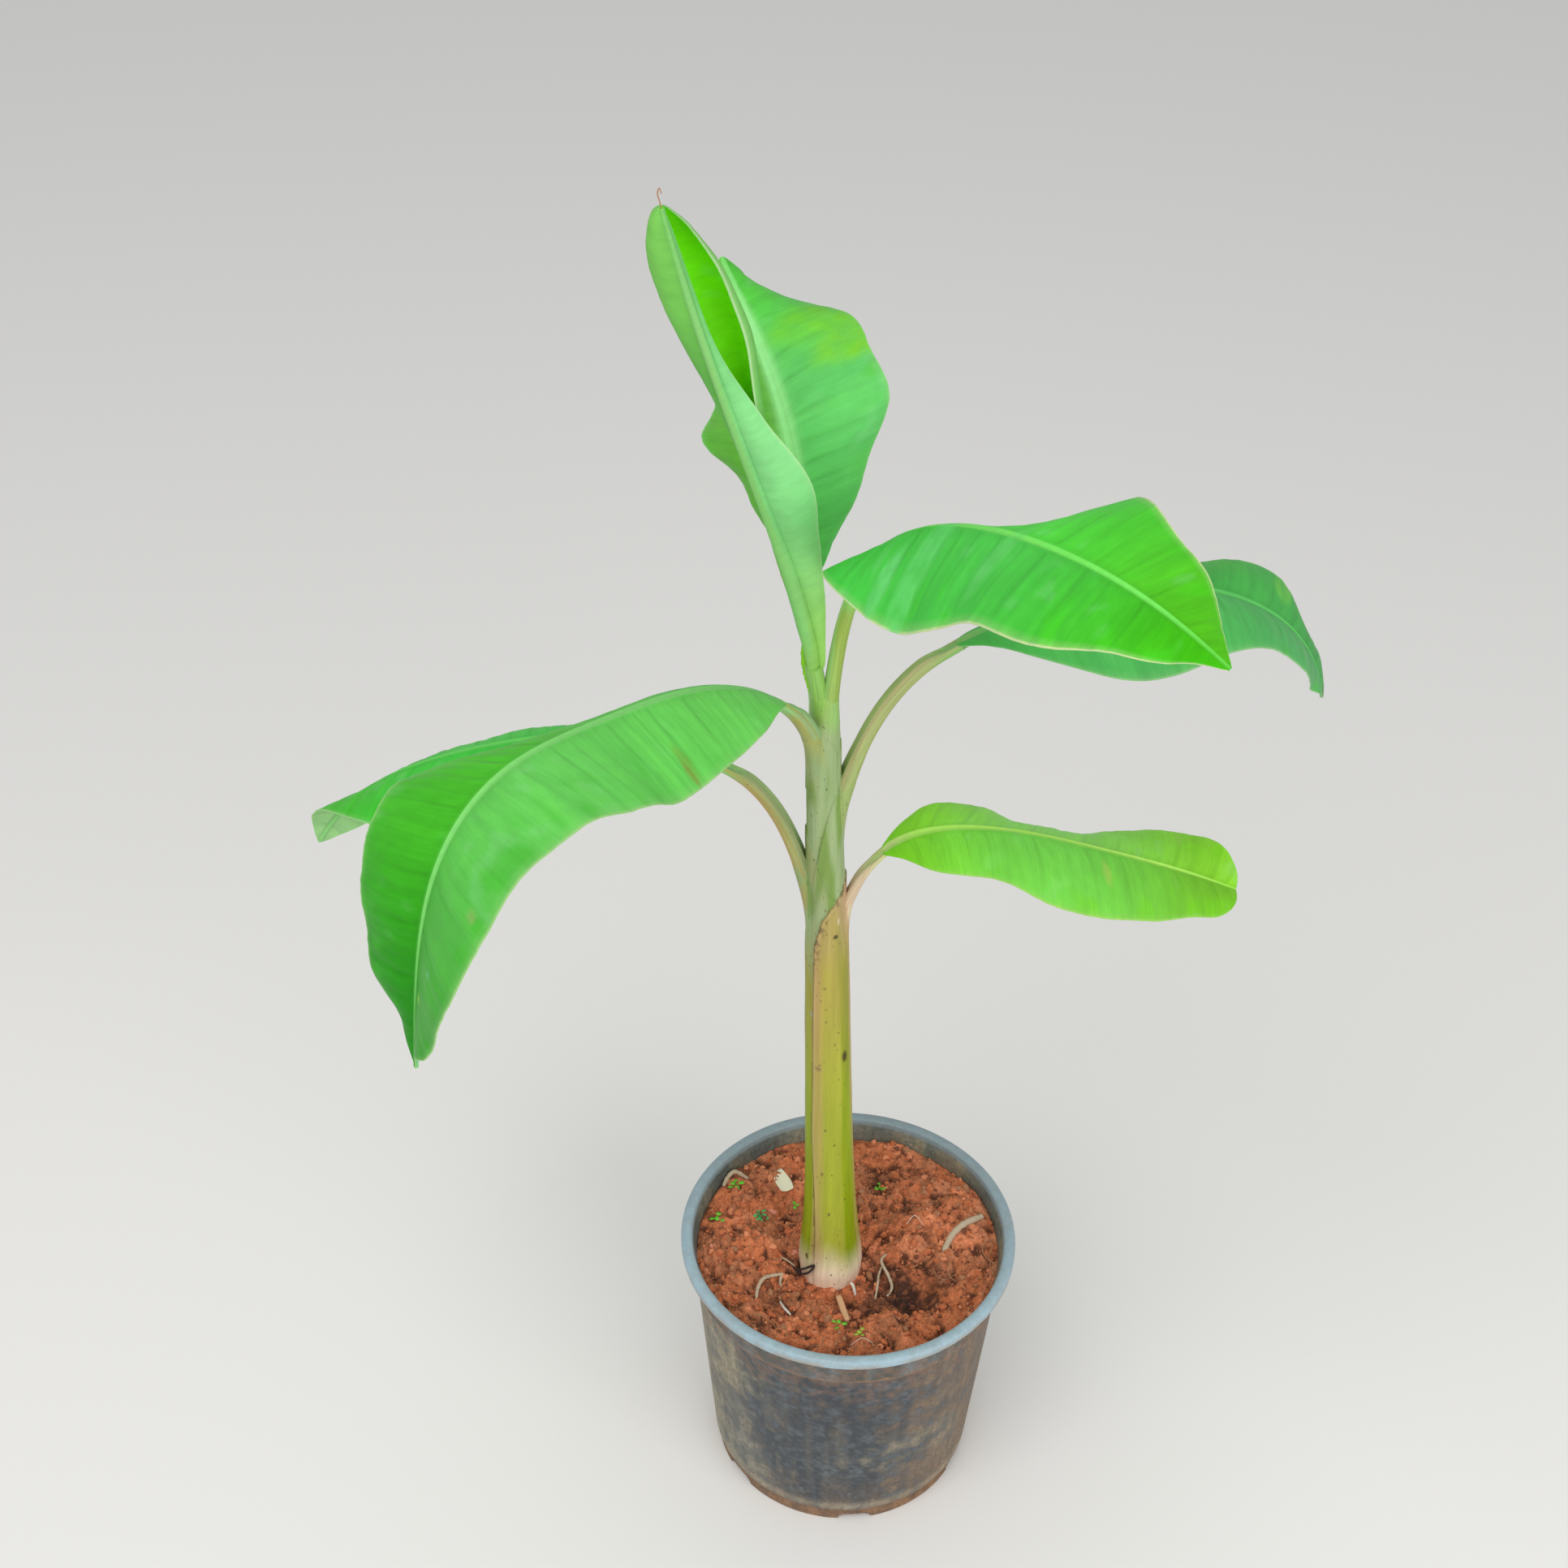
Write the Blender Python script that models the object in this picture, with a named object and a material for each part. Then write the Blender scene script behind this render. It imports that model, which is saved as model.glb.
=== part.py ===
"""A young banana plant in a round nursery pot, modelled in metres with +Z up.

The origin is the centre of the pot's underside. The plant is a leaning pseudostem with seven
leaves on stalks, numbered from the lowest and oldest to the rolled youngest one on top.
Each leaf follows one centre line, its rail, which starts on the stem's axis, runs up the
stalk and then along the blade's midrib. Angles are in degrees, and a row of station values
is spread evenly along what it describes and read off a smooth curve through them.
"""
import math

import bmesh
import bpy
import numpy as np
from mathutils import Vector

MM = 0.001
GAP = 0.3 * MM

# ---- pot ---------------------------------------------------------------------------------
POT_HEIGHT = 222 * MM
RIM_RADIUS = 127.5 * MM
LIP_WIDTH = 8.5 * MM
LIP_HEIGHT = 8 * MM
LIP_ROUND = 2.5 * MM
LIP_FACETS = 6
LIP_TAPER_END = 12 * MM
COLLAR_HEIGHT = 20 * MM
COLLAR_PROUD = 1.5 * MM
WALL = 2 * MM
FLOOR = 8 * MM
EDGE = 1 * MM
FOOT_RADIUS = 99 * MM
FOOT_HEIGHT = 14.5 * MM
FOOT_STEP = 2.5 * MM
POT_SIDES = 56
NOTCHES = 6
NOTCH_WIDTH = 26 * MM
NOTCH_HEIGHT = 5 * MM
NOTCH_DEPTH = 9 * MM
NOTCH_TURN = -84

# ---- soil --------------------------------------------------------------------------------
SOIL_LEVEL = 190 * MM
SOIL_EDGE = 200 * MM
SEAT_RADIUS = 30 * MM
SOIL_RISE_RUN = 60 * MM
HEAP_FADE = 20 * MM
SOIL_SIDES = 44
SOIL_RINGS = 10
# heaps and hollows: x, y, spread, height
SOIL_SHAPE = (
    (78 * MM, 38 * MM, 34 * MM, 11 * MM),
    (46 * MM, 16 * MM, 16 * MM, 6 * MM),
    (50 * MM, -38 * MM, 17 * MM, -13 * MM),
    (88 * MM, -52 * MM, 18 * MM, 4 * MM),
    (27 * MM, -68 * MM, 14 * MM, 7 * MM),
    (-1 * MM, -62 * MM, 13 * MM, 5 * MM),
    (-28 * MM, -46 * MM, 12 * MM, 5 * MM),
    (-60 * MM, -38 * MM, 17 * MM, -7 * MM),
    (-25 * MM, -90 * MM, 17 * MM, 4 * MM),
    (-70 * MM, -72 * MM, 18 * MM, 3 * MM),
    (-84 * MM, 14 * MM, 26 * MM, 9 * MM),
    (-58 * MM, 2 * MM, 13 * MM, 5 * MM),
    (-78 * MM, 58 * MM, 26 * MM, 6 * MM),
    (-48 * MM, 96 * MM, 24 * MM, 5 * MM),
    (24 * MM, 78 * MM, 14 * MM, -6 * MM),
    (42 * MM, 104 * MM, 18 * MM, 5 * MM),
)

# ---- pseudostem --------------------------------------------------------------------------
# height, x, radius; the whole stem stands a little in front of the pot's axis
STEM_Y = -8 * MM
STEM = (
    (190.3 * MM, -13 * MM, 22.5 * MM),
    (197 * MM, -13 * MM, 24.8 * MM),
    (212 * MM, -13.5 * MM, 24.2 * MM),
    (245 * MM, -14.5 * MM, 20.8 * MM),
    (290 * MM, -16 * MM, 18.8 * MM),
    (340 * MM, -18 * MM, 17.8 * MM),
    (400 * MM, -20 * MM, 17 * MM),
    (460 * MM, -22 * MM, 16.4 * MM),
    (520 * MM, -24 * MM, 15.4 * MM),
    (560 * MM, -25.5 * MM, 14 * MM),
    (600 * MM, -27 * MM, 12.8 * MM),
    (650 * MM, -29.5 * MM, 11.6 * MM),
    (690 * MM, -30 * MM, 10.4 * MM),
    (718 * MM, -30 * MM, 7.6 * MM),
    (732 * MM, -30 * MM, 3.5 * MM),
)
STEM_SIDES = 20

# ---- leaves ------------------------------------------------------------------------------
# attach: height on the stem where the rail starts    stalk, blade: lengths along the rail
# radius: stalk at its root, its middle and the blade, then the midrib's end
# pitch, heading: slope and compass direction, stations from root to tip
# roll, lift: twist and both halves' rise from the midrib, stations along the blade
# left, right: half widths in mm from the blade's base to its tip
# fold_left, fold_right: added rise across each half, from the midrib to the margin
# cuts: where the blade is divided into nodes, as a share of its length, with the nodes' names
LEAVES = (
    dict(
        name="leaf_1", attach=0.512, stalk=0.095, blade=0.25, radius=(8, 4.6, 3.8, 1.2),
        pitch=(75, 65, 14, -10, -18, -26), heading=(0, -5, 5),
        roll=(14, -13, -4, 25), lift=(2, -9, -7, 18),
        left=(5, 38, 56, 58, 59, 48, 38, 26), right=(7, 36, 45, 61, 59, 48, 34, 24),
        fold_left=(0, -20), fold_right=(0, -22), cuts=("blade",),
    ),
    dict(
        name="leaf_2", attach=0.525, stalk=0.165, blade=0.312, radius=(9, 6, 5, 1.4),
        pitch=(74, 66, 15, -11, -30, -62), heading=(176, 177, 171),
        roll=(8, 12, 12, 20, 85), lift=(-3, -6, -8, 4),
        left=(8, 43, 61, 69, 68, 50, 26, 8), right=(8, 43, 60, 68, 68, 50, 26, 8),
        fold_left=(0, -25), fold_right=(0, -28), cuts=("blade_inner", 0.52, "blade_outer"),
    ),
    dict(
        name="leaf_3", attach=0.608, stalk=0.175, blade=0.285, radius=(9, 5.6, 5.2, 1.3),
        pitch=(77, 66, 29, 9, -26, -75), heading=(7, 6, 0),
        roll=(-12, -4, 3, 16), lift=(-6, -28, 12, 9),
        left=(8, 35, 54, 60, 52, 47, 24, 8), right=(8, 36, 58, 63, 54, 40, 30, 8),
        fold_left=(0, -26), fold_right=(0, -28), cuts=("blade_inner", 0.6, "blade_outer"),
    ),
    dict(
        name="leaf_4", attach=0.65, stalk=0.102, blade=0.43, radius=(9.5, 6.6, 5.2, 1.4),
        pitch=(83, 42, 13, 0, -68, -84), heading=(224, 229, 235),
        roll=(6, 12, 15, 29), lift=(-9, -19, 13, 23),
        left=(12, 48, 68, 78, 76, 73, 54, 16), right=(12, 46, 62, 69, 72, 67, 52, 14),
        fold_left=(0, -12), fold_right=(0, -25), cuts=("blade_inner", 0.5, "blade_outer"),
    ),
    dict(
        name="leaf_5", attach=0.673, stalk=0.151, blade=0.324, radius=(6.5, 5, 4.4, 1.4),
        pitch=(85, 78, 53, 21, 1, -22), heading=(-58, -54, -43),
        roll=(-30, -8, 15, 4), lift=(-8, -32, 10, -3),
        left=(10, 46, 66, 77, 70, 50, 35, 8), right=(10, 50, 71, 75, 65, 63, 35, 8),
        fold_left=(0, -21), fold_right=(0, -22), cuts=("blade",),
    ),
    dict(
        name="leaf_6", attach=0.692, stalk=0.109, blade=0.209, radius=(7, 5.4, 4.8, 1.4),
        pitch=(76, 76, 85, 66, 44, 40), heading=(131, 123, 122),
        roll=(-46, -45, -43, -10), lift=(-12, -3, -17, -33),
        left=(10, 37, 52, 73, 63, 56, 28, 6), right=(10, 28, 45, 67, 68, 67, 40, 8),
        fold_left=(0, -43), fold_right=(0, -49), cuts=("blade",),
    ),
    dict(
        name="leaf_7", attach=0.7, stalk=0.05, blade=0.358, radius=(6.5, 6, 5.6, 1.4),
        pitch=(80, 72, 68, 69, 73), heading=(225, 225, 225),
        roll=(3, 22, 0, 12, 45, 77), lift=(0, 0, 0, 0),
        left=(8, 17, 26, 36, 20, 7, 4, 3), right=(6, 13, 26, 31, 54, 80, 72, 38),
        fold_left=(-5, 76), fold_right=(0, 50, 112, 137, 186, 223, 295),
        cuts=("blade_lower", 0.48, "blade_upper"), panels=8,
    ),
)
BLADE_PANELS = 3
# midrib section in radii: how far out, top and underside of its two side points
RIB_SHAPE = ((0.5, 0.0, -0.95), (1.0, 0.1, -0.5))
RIB_CHANNEL = -0.05
RIB_DEPTH = 1.1
BLADE_SWEEP = 0.15
SHOULDER_MOST = 0.5
STALK_SIDES = 10
STALK_STATIONS = 9
STALK_MIDDLE = 0.45
STALK_CHANNEL = 0.72
CHANNEL_CORNERS = (2, 3)
BLADE_STATIONS = 9
WHOLE_BLADE_STATIONS = 13
TIP_CROWDING = 0.4
RAIL_STEPS = 120
THICKNESS_SHARE = 0.0108
THINNEST = 2 * MM
TIP_WIDTH = 2.2 * MM
EASY_WIDTH = 20 * MM
ROUND_FROM = 0.9

# ---- materials: base colour, roughness, metallic -----------------------------------------
LOOKS = {
    "pot_plastic": ((0.10, 0.11, 0.12), 0.6, 0.0),
    "red_soil": ((0.30, 0.09, 0.04), 0.95, 0.0),
    "stem_sheath": ((0.33, 0.42, 0.10), 0.5, 0.0),
    "leaf_stalk": ((0.36, 0.44, 0.20), 0.5, 0.0),
    "leaf_blade": ((0.08, 0.45, 0.06), 0.45, 0.0),
}


def clear_scene():
    for item in list(bpy.data.objects):
        bpy.data.objects.remove(item, do_unlink=True)


def material(name):
    found = bpy.data.materials.get(name)
    if found:
        return found
    color, roughness, metallic = LOOKS[name]
    made = bpy.data.materials.new(name)
    made.use_nodes = True
    shader = made.node_tree.nodes["Principled BSDF"]
    shader.inputs["Base Color"].default_value = (*color, 1.0)
    shader.inputs["Roughness"].default_value = roughness
    shader.inputs["Metallic"].default_value = metallic
    return made


def add_object(name, points, faces, look):
    mesh = bpy.data.meshes.new(name)
    mesh.from_pydata([tuple(map(float, p)) for p in points], [], faces)
    build = bmesh.new()
    build.from_mesh(mesh)
    bmesh.ops.recalc_face_normals(build, faces=build.faces)
    bmesh.ops.triangulate(build, faces=[f for f in build.faces if len(f.verts) > 3])
    build.to_mesh(mesh)
    build.free()
    mesh.shade_smooth()
    mesh.set_sharp_from_angle(angle=math.radians(40))
    mesh.materials.append(material(look))
    item = bpy.data.objects.new(name, mesh)
    bpy.context.scene.collection.objects.link(item)
    return item


def smooth(values, where):
    """Value at each share 0..1 of a curve that passes through evenly spaced stations."""
    values = np.asarray(values, float)
    last = len(values) - 1
    spot = np.clip(np.asarray(where, float), 0, 1) * last
    low = np.clip(np.floor(spot).astype(int), 0, last - 1)
    part = spot - low
    before = values[np.maximum(low - 1, 0)]
    after = values[np.minimum(low + 2, last)]
    start, end = values[low], values[low + 1]
    slope_in, slope_out = (end - before) / 2, (after - start) / 2
    return (
        (2 * part**3 - 3 * part**2 + 1) * start
        + (part**3 - 2 * part**2 + part) * slope_in
        + (3 * part**2 - 2 * part**3) * end
        + (part**3 - part**2) * slope_out
    )


def stem_at(height):
    """Axis point and radius of the pseudostem at a height."""
    heights, across, radii = zip(*STEM)
    x = float(np.interp(height, heights, across))
    return Vector((x, STEM_Y, height)), float(np.interp(height, heights, radii))


# ---- lofts -------------------------------------------------------------------------------
def loft_closed(name, rings, look):
    """Solid through closed rings of equal point count, with flat ends."""
    count = len(rings[0])
    points = [p for ring in rings for p in ring]
    faces = [tuple(range(count))[::-1]]
    for i in range(len(rings) - 1):
        for k in range(count):
            n = (k + 1) % count
            faces.append((i * count + k, i * count + n, (i + 1) * count + n, (i + 1) * count + k))
    faces.append(tuple(range((len(rings) - 1) * count, len(rings) * count)))
    return add_object(name, points, faces, look)


def loft_plate(name, tops, bottoms, look):
    """Solid between an upper and a lower sheet, both rows of points with equal counts."""
    rows, count = len(tops), len(tops[0])
    upper = [p for row in tops for p in row]
    lower = [p for row in bottoms for p in row]
    shift = len(upper)
    faces = []
    for i in range(rows - 1):
        for k in range(count - 1):
            a, b = i * count + k, i * count + k + 1
            c, d = b + count, a + count
            faces.append((a, b, c, d))
            faces.append((shift + d, shift + c, shift + b, shift + a))
        for k in (0, count - 1):
            a, d = i * count + k, (i + 1) * count + k
            faces.append((a, d, shift + d, shift + a))
    for i in (0, rows - 1):
        for k in range(count - 1):
            a, b = i * count + k, i * count + k + 1
            faces.append((a, b, shift + b, shift + a))
    return add_object(name, upper + lower, faces, look)


# ---- pot and soil ------------------------------------------------------------------------
def wall_radius(height):
    """Outer radius of the pot's tapering wall."""
    low, high = FOOT_RADIUS + FOOT_STEP, RIM_RADIUS - LIP_WIDTH + WALL - COLLAR_PROUD
    return low + (high - low) * (height - FOOT_HEIGHT) / (POT_HEIGHT - FOOT_HEIGHT)


def inner_radius(height):
    low = FOOT_RADIUS - WALL
    high = RIM_RADIUS - LIP_WIDTH - COLLAR_PROUD
    return low + (high - low) * (height - FLOOR) / (POT_HEIGHT - FLOOR)


def turned(name, profile, sides, look):
    """Solid turned about Z from (radius, height) pairs that start and end on the axis."""
    rows = []
    for radius, height in profile[1:-1]:
        rows.append([
            (
                radius * math.cos(2 * math.pi * k / sides),
                radius * math.sin(2 * math.pi * k / sides),
                height,
            )
            for k in range(sides)
        ])
    points = [p for row in rows for p in row]
    faces = []
    for i in range(len(rows) - 1):
        for k in range(sides):
            n = (k + 1) % sides
            faces.append((i * sides + k, i * sides + n, (i + 1) * sides + n, (i + 1) * sides + k))
    bottom, top = len(points), len(points) + 1
    points += [(0, 0, profile[0][1]), (0, 0, profile[-1][1])]
    last = (len(rows) - 1) * sides
    for k in range(sides):
        n = (k + 1) % sides
        faces.append((bottom, n, k))
        faces.append((top, last + k, last + n))
    return add_object(name, points, faces, look)


def make_pot():
    ledge = POT_HEIGHT - LIP_HEIGHT - COLLAR_HEIGHT
    lip_low = POT_HEIGHT - LIP_HEIGHT
    profile = [
        (0, 0),
        (FOOT_RADIUS - EDGE, 0),
        (FOOT_RADIUS, EDGE),
        (FOOT_RADIUS, FOOT_HEIGHT - EDGE),
        (FOOT_RADIUS + FOOT_STEP, FOOT_HEIGHT),
        (wall_radius(ledge), ledge),
        (wall_radius(ledge) + COLLAR_PROUD, ledge + COLLAR_PROUD),
        (wall_radius(lip_low) + COLLAR_PROUD, lip_low),
        (RIM_RADIUS - EDGE, lip_low),
        (RIM_RADIUS, lip_low + EDGE),
    ]
    for i in range(LIP_FACETS + 1):
        turn = math.pi * i / LIP_FACETS
        profile.append((
            RIM_RADIUS - LIP_WIDTH / 2 * (1 - math.cos(turn)),
            POT_HEIGHT - LIP_ROUND * (1 - math.sin(turn)),
        ))
    profile += [
        (inner_radius(POT_HEIGHT - LIP_TAPER_END), POT_HEIGHT - LIP_TAPER_END),
        (inner_radius(FLOOR), FLOOR),
        (0, FLOOR),
    ]
    pot = turned("pot", profile, POT_SIDES, "pot_plastic")
    for i in range(NOTCHES):
        turn = math.radians(NOTCH_TURN + 360 * i / NOTCHES)
        cutter = box_cutter(
            "notch", (2 * NOTCH_DEPTH, NOTCH_WIDTH, 2 * NOTCH_HEIGHT),
            (FOOT_RADIUS * math.cos(turn), FOOT_RADIUS * math.sin(turn), 0), turn,
        )
        cut(pot, cutter)
    return pot


def box_cutter(name, size, place, turn):
    points = [
        (sx * size[0] / 2, sy * size[1] / 2, sz * size[2] / 2)
        for sx in (-1, 1) for sy in (-1, 1) for sz in (-1, 1)
    ]
    faces = [(0, 1, 3, 2), (4, 6, 7, 5), (0, 4, 5, 1), (2, 3, 7, 6), (0, 2, 6, 4), (1, 5, 7, 3)]
    item = add_object(name, points, faces, "pot_plastic")
    item.location = place
    item.rotation_euler = (0, 0, turn)
    return item


def cut(item, cutter):
    """Take the cutter's volume out of the item, and apply it."""
    bpy.context.view_layer.update()
    change = item.modifiers.new("cut", "BOOLEAN")
    change.operation = "DIFFERENCE"
    change.solver = "EXACT"
    change.object = cutter
    bpy.context.view_layer.update()
    graph = bpy.context.evaluated_depsgraph_get()
    result = bpy.data.meshes.new_from_object(item.evaluated_get(graph))
    item.modifiers.clear()
    old = item.data
    item.data = result
    bpy.data.meshes.remove(old)
    bpy.data.objects.remove(cutter, do_unlink=True)


def soil_height(x, y):
    """Top of the soil: level at the stem, a little higher at the wall, with heaps and hollows."""
    centre, _ = stem_at(SOIL_LEVEL)
    away = math.hypot(x - centre.x, y - centre.y)
    clear = max(0.0, away - SEAT_RADIUS)
    height = SOIL_LEVEL + (SOIL_EDGE - SOIL_LEVEL) * min(1.0, clear / SOIL_RISE_RUN)
    fade = min(1.0, clear / HEAP_FADE)
    for px, py, spread, rise in SOIL_SHAPE:
        height += fade * rise * math.exp(-((x - px) ** 2 + (y - py) ** 2) / spread**2)
    return height


def make_soil():
    centre, _ = stem_at(SOIL_LEVEL)
    floor = FLOOR + GAP
    points, faces = [], []
    for ring in range(SOIL_RINGS + 1):
        share = ring / SOIL_RINGS
        for k in range(SOIL_SIDES):
            turn = 2 * math.pi * k / SOIL_SIDES
            edge = inner_radius(SOIL_EDGE) - 2 * GAP
            rim = Vector((edge * math.cos(turn), edge * math.sin(turn), 0))
            seat = Vector((
                centre.x + SEAT_RADIUS * math.cos(turn), centre.y + SEAT_RADIUS * math.sin(turn), 0,
            ))
            spot = seat.lerp(rim, share)
            points.append((spot.x, spot.y, soil_height(spot.x, spot.y)))
    low = inner_radius(floor) - 2 * GAP
    for k in range(SOIL_SIDES):
        turn = 2 * math.pi * k / SOIL_SIDES
        points.append((low * math.cos(turn), low * math.sin(turn), floor))
    for i in range(SOIL_RINGS + 1):
        for k in range(SOIL_SIDES):
            n = (k + 1) % SOIL_SIDES
            a, b = i * SOIL_SIDES + k, i * SOIL_SIDES + n
            faces.append((a, b, b + SOIL_SIDES, a + SOIL_SIDES))
    faces.append(tuple(range(SOIL_SIDES)))
    faces.append(tuple(range((SOIL_RINGS + 1) * SOIL_SIDES, (SOIL_RINGS + 2) * SOIL_SIDES)))
    return add_object("soil", points, faces, "red_soil")


# ---- stem, stalks and blades -------------------------------------------------------------
def make_stem(name="pseudostem", grow=0.0):
    rings = []
    for height, x, radius in STEM:
        rings.append([
            (
                x + (radius + grow) * math.cos(2 * math.pi * k / STEM_SIDES),
                STEM_Y + (radius + grow) * math.sin(2 * math.pi * k / STEM_SIDES),
                height,
            )
            for k in range(STEM_SIDES)
        ])
    if grow:
        rings.append([(p[0], p[1], p[2] + grow) for p in rings[-1]])
    return loft_closed(name, rings, "stem_sheath")


class Rail:
    """Centre line of one leaf with its frame: along, to the left, and up out of the blade."""

    def __init__(self, leaf):
        self.leaf = leaf
        self.length = leaf["stalk"] + leaf["blade"]
        share = np.linspace(0, 1, RAIL_STEPS + 1)
        slope = np.radians(smooth(leaf["pitch"], share))
        turn = np.radians(smooth(leaf["heading"], share))
        along = np.stack(
            [np.cos(slope) * np.cos(turn), np.cos(slope) * np.sin(turn), np.sin(slope)], 1
        )
        middle = (along[1:] + along[:-1]) / 2
        root = np.array(stem_at(leaf["attach"])[0])
        step = self.length / RAIL_STEPS
        self.points = np.concatenate([[root], root + np.cumsum(middle * step, 0)])
        self.share = share
        self.slope, self.turn = slope, turn

    def at(self, distance):
        """Point, direction, left and up at a distance from the root."""
        where = distance / self.length
        point = np.array([np.interp(where, self.share, self.points[:, i]) for i in range(3)])
        slope = np.interp(where, self.share, self.slope)
        turn = np.interp(where, self.share, self.turn)
        along = np.array([
            math.cos(slope) * math.cos(turn), math.cos(slope) * math.sin(turn), math.sin(slope),
        ])
        left = np.array([-math.sin(turn), math.cos(turn), 0.0])
        return point, along, left, np.cross(along, left)

    def radius(self, distance):
        root, middle, base, tip = (value * MM for value in self.leaf["radius"])
        stalk = self.leaf["stalk"]
        if distance <= stalk:
            return float(np.interp(distance / stalk, (0, STALK_MIDDLE, 1), (root, middle, base)))
        return base + (tip - base) * (distance - stalk) / self.leaf["blade"]


def make_stalk(rail, name, grow=0.0):
    """Tapering limb with a shallow channel on its upper side."""
    leaf = rail.leaf
    rings = []
    end = leaf["stalk"] - GAP + (3 * GAP if grow else 0)
    for i in range(STALK_STATIONS):
        distance = end * i / (STALK_STATIONS - 1)
        point, _, left, up = rail.at(distance)
        radius = rail.radius(distance) + grow
        ring = []
        for k in range(STALK_SIDES):
            turn = 2 * math.pi * k / STALK_SIDES
            high = math.sin(turn)
            dip = STALK_CHANNEL if k in CHANNEL_CORNERS else 1.0
            ring.append(point + radius * (math.cos(turn) * left + dip * high * up))
        rings.append(ring)
    return loft_closed(name, rings, "leaf_stalk")


def round_end(share):
    """Narrows the last stretch of a blade to a round end."""
    rest = max(0.0, (share - ROUND_FROM) / (1 - ROUND_FROM))
    return math.sqrt(max(0.0, 1 - rest**2))


def blade_section(rail, share, thick):
    """Upper and lower point rows across the blade at a share of its length."""
    leaf = rail.leaf
    panels = leaf.get("panels", BLADE_PANELS)
    distance = leaf["stalk"] + share * leaf["blade"]
    point, along, left, up = rail.at(distance)
    rib = rail.radius(distance)
    roll = float(smooth(leaf["roll"], share))
    lift = float(smooth(leaf["lift"], share))
    halves = []
    for sign, widths, fold in (
        (1, leaf["left"], leaf["fold_left"]), (-1, leaf["right"], leaf["fold_right"]),
    ):
        width = max(float(smooth(widths, share)) * round_end(share) * MM, TIP_WIDTH)
        ease = min(1.0, width / EASY_WIDTH)
        tops, bottoms = [], []
        base = math.radians(lift + sign * roll)
        shoulder = min(rib, width * SHOULDER_MOST)
        for out, top, low in RIB_SHAPE:
            across = sign * left * math.cos(base) + up * math.sin(base)
            raised = -sign * left * math.sin(base) + up * math.cos(base)
            tops.append(point + across * shoulder * out + raised * (top * rib + thick / 2))
            bottoms.append(
                point + across * shoulder * out + raised * min(low * rib, top * rib - thick / 2)
            )
        edge = point + across * shoulder + raised * RIB_SHAPE[1][1] * rib
        step = (width - shoulder) / panels
        for k in range(panels):
            angle = base + math.radians(ease * float(smooth(fold, (k + 0.5) / panels)))
            across = sign * left * math.cos(angle) + up * math.sin(angle)
            edge = edge + step * (across + BLADE_SWEEP * along)
            next_angle = base + math.radians(ease * float(smooth(fold, (k + 1) / panels)))
            raised = -sign * left * math.sin(next_angle) + up * math.cos(next_angle)
            tops.append(edge + raised * thick / 2)
            bottoms.append(edge - raised * thick / 2)
        halves.append((tops, bottoms))
    up_mid = np.array(up)
    top_mid = point + up_mid * (RIB_CHANNEL * rib + thick / 2)
    low_mid = point + up_mid * min(-RIB_DEPTH * rib, RIB_CHANNEL * rib - thick / 2)
    tops = halves[0][0][::-1] + [top_mid] + halves[1][0]
    bottoms = halves[0][1][::-1] + [low_mid] + halves[1][1]
    return tops, bottoms


def make_blades(rail):
    """One node for each stretch of the blade between its cuts."""
    leaf = rail.leaf
    cuts = leaf["cuts"]
    names = cuts[::2]
    ends = (0.0,) + cuts[1::2] + (1.0,)
    made = []
    for i, name in enumerate(names):
        start, end = ends[i], ends[i + 1]
        if i > 0:
            start += GAP / leaf["blade"]
        length = (end - start) * leaf["blade"]
        thick = max(THINNEST, THICKNESS_SHARE * length)
        stations = BLADE_STATIONS if len(names) > 1 else WHOLE_BLADE_STATIONS
        tops, bottoms = [], []
        for k in range(stations):
            part = k / (stations - 1)
            if end == 1:
                part += TIP_CROWDING * (math.sin(part * math.pi / 2) - part)
            upper, lower = blade_section(rail, start + (end - start) * part, thick)
            tops.append(upper)
            bottoms.append(lower)
        made.append(loft_plate(leaf["name"] + "_" + name, tops, bottoms, "leaf_blade"))
    return made


def make_leaves():
    """Stalks and blades; a stalk is cut clear of the stem and of the younger stalks inside it."""
    younger = []
    for leaf in reversed(LEAVES):
        rail = Rail(leaf)
        stalk = make_stalk(rail, leaf["name"] + "_stalk")
        cut(stalk, make_stem("stem_cutter", GAP))
        for inner in younger:
            cut(stalk, make_stalk(inner, "stalk_cutter", GAP))
        younger.append(rail)
        make_blades(rail)


def main():
    clear_scene()
    make_pot()
    make_soil()
    make_stem()
    make_leaves()


main()
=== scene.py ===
"""A young banana plant in its nursery pot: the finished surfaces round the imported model.

Laid out as a Blender add-on and run as a script. Each piece has an operator, and the sizes and
colours that a user would change are properties. Lengths are metres, +Z is up, and the origin is
the centre of the pot's underside.
"""
import math
import random

import bmesh
import bpy
import numpy as np
from bpy.props import FloatProperty, FloatVectorProperty, IntProperty, PointerProperty
from mathutils import Matrix, Vector, noise


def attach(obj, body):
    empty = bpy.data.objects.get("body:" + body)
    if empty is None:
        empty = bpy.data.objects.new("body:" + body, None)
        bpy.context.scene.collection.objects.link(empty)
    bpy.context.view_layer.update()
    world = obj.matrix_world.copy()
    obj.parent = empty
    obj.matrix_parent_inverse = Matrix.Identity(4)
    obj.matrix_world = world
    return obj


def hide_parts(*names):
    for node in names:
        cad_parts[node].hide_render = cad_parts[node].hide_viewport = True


bl_info = {
    "name": "Potted Banana Plant",
    "version": (1, 0, 0),
    "blender": (4, 5, 0),
    "location": "View3D > Sidebar > Banana Plant",
    "description": "Builds a young banana plant with its pot, soil, stem and leaves",
    "category": "Add Mesh",
}

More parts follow.
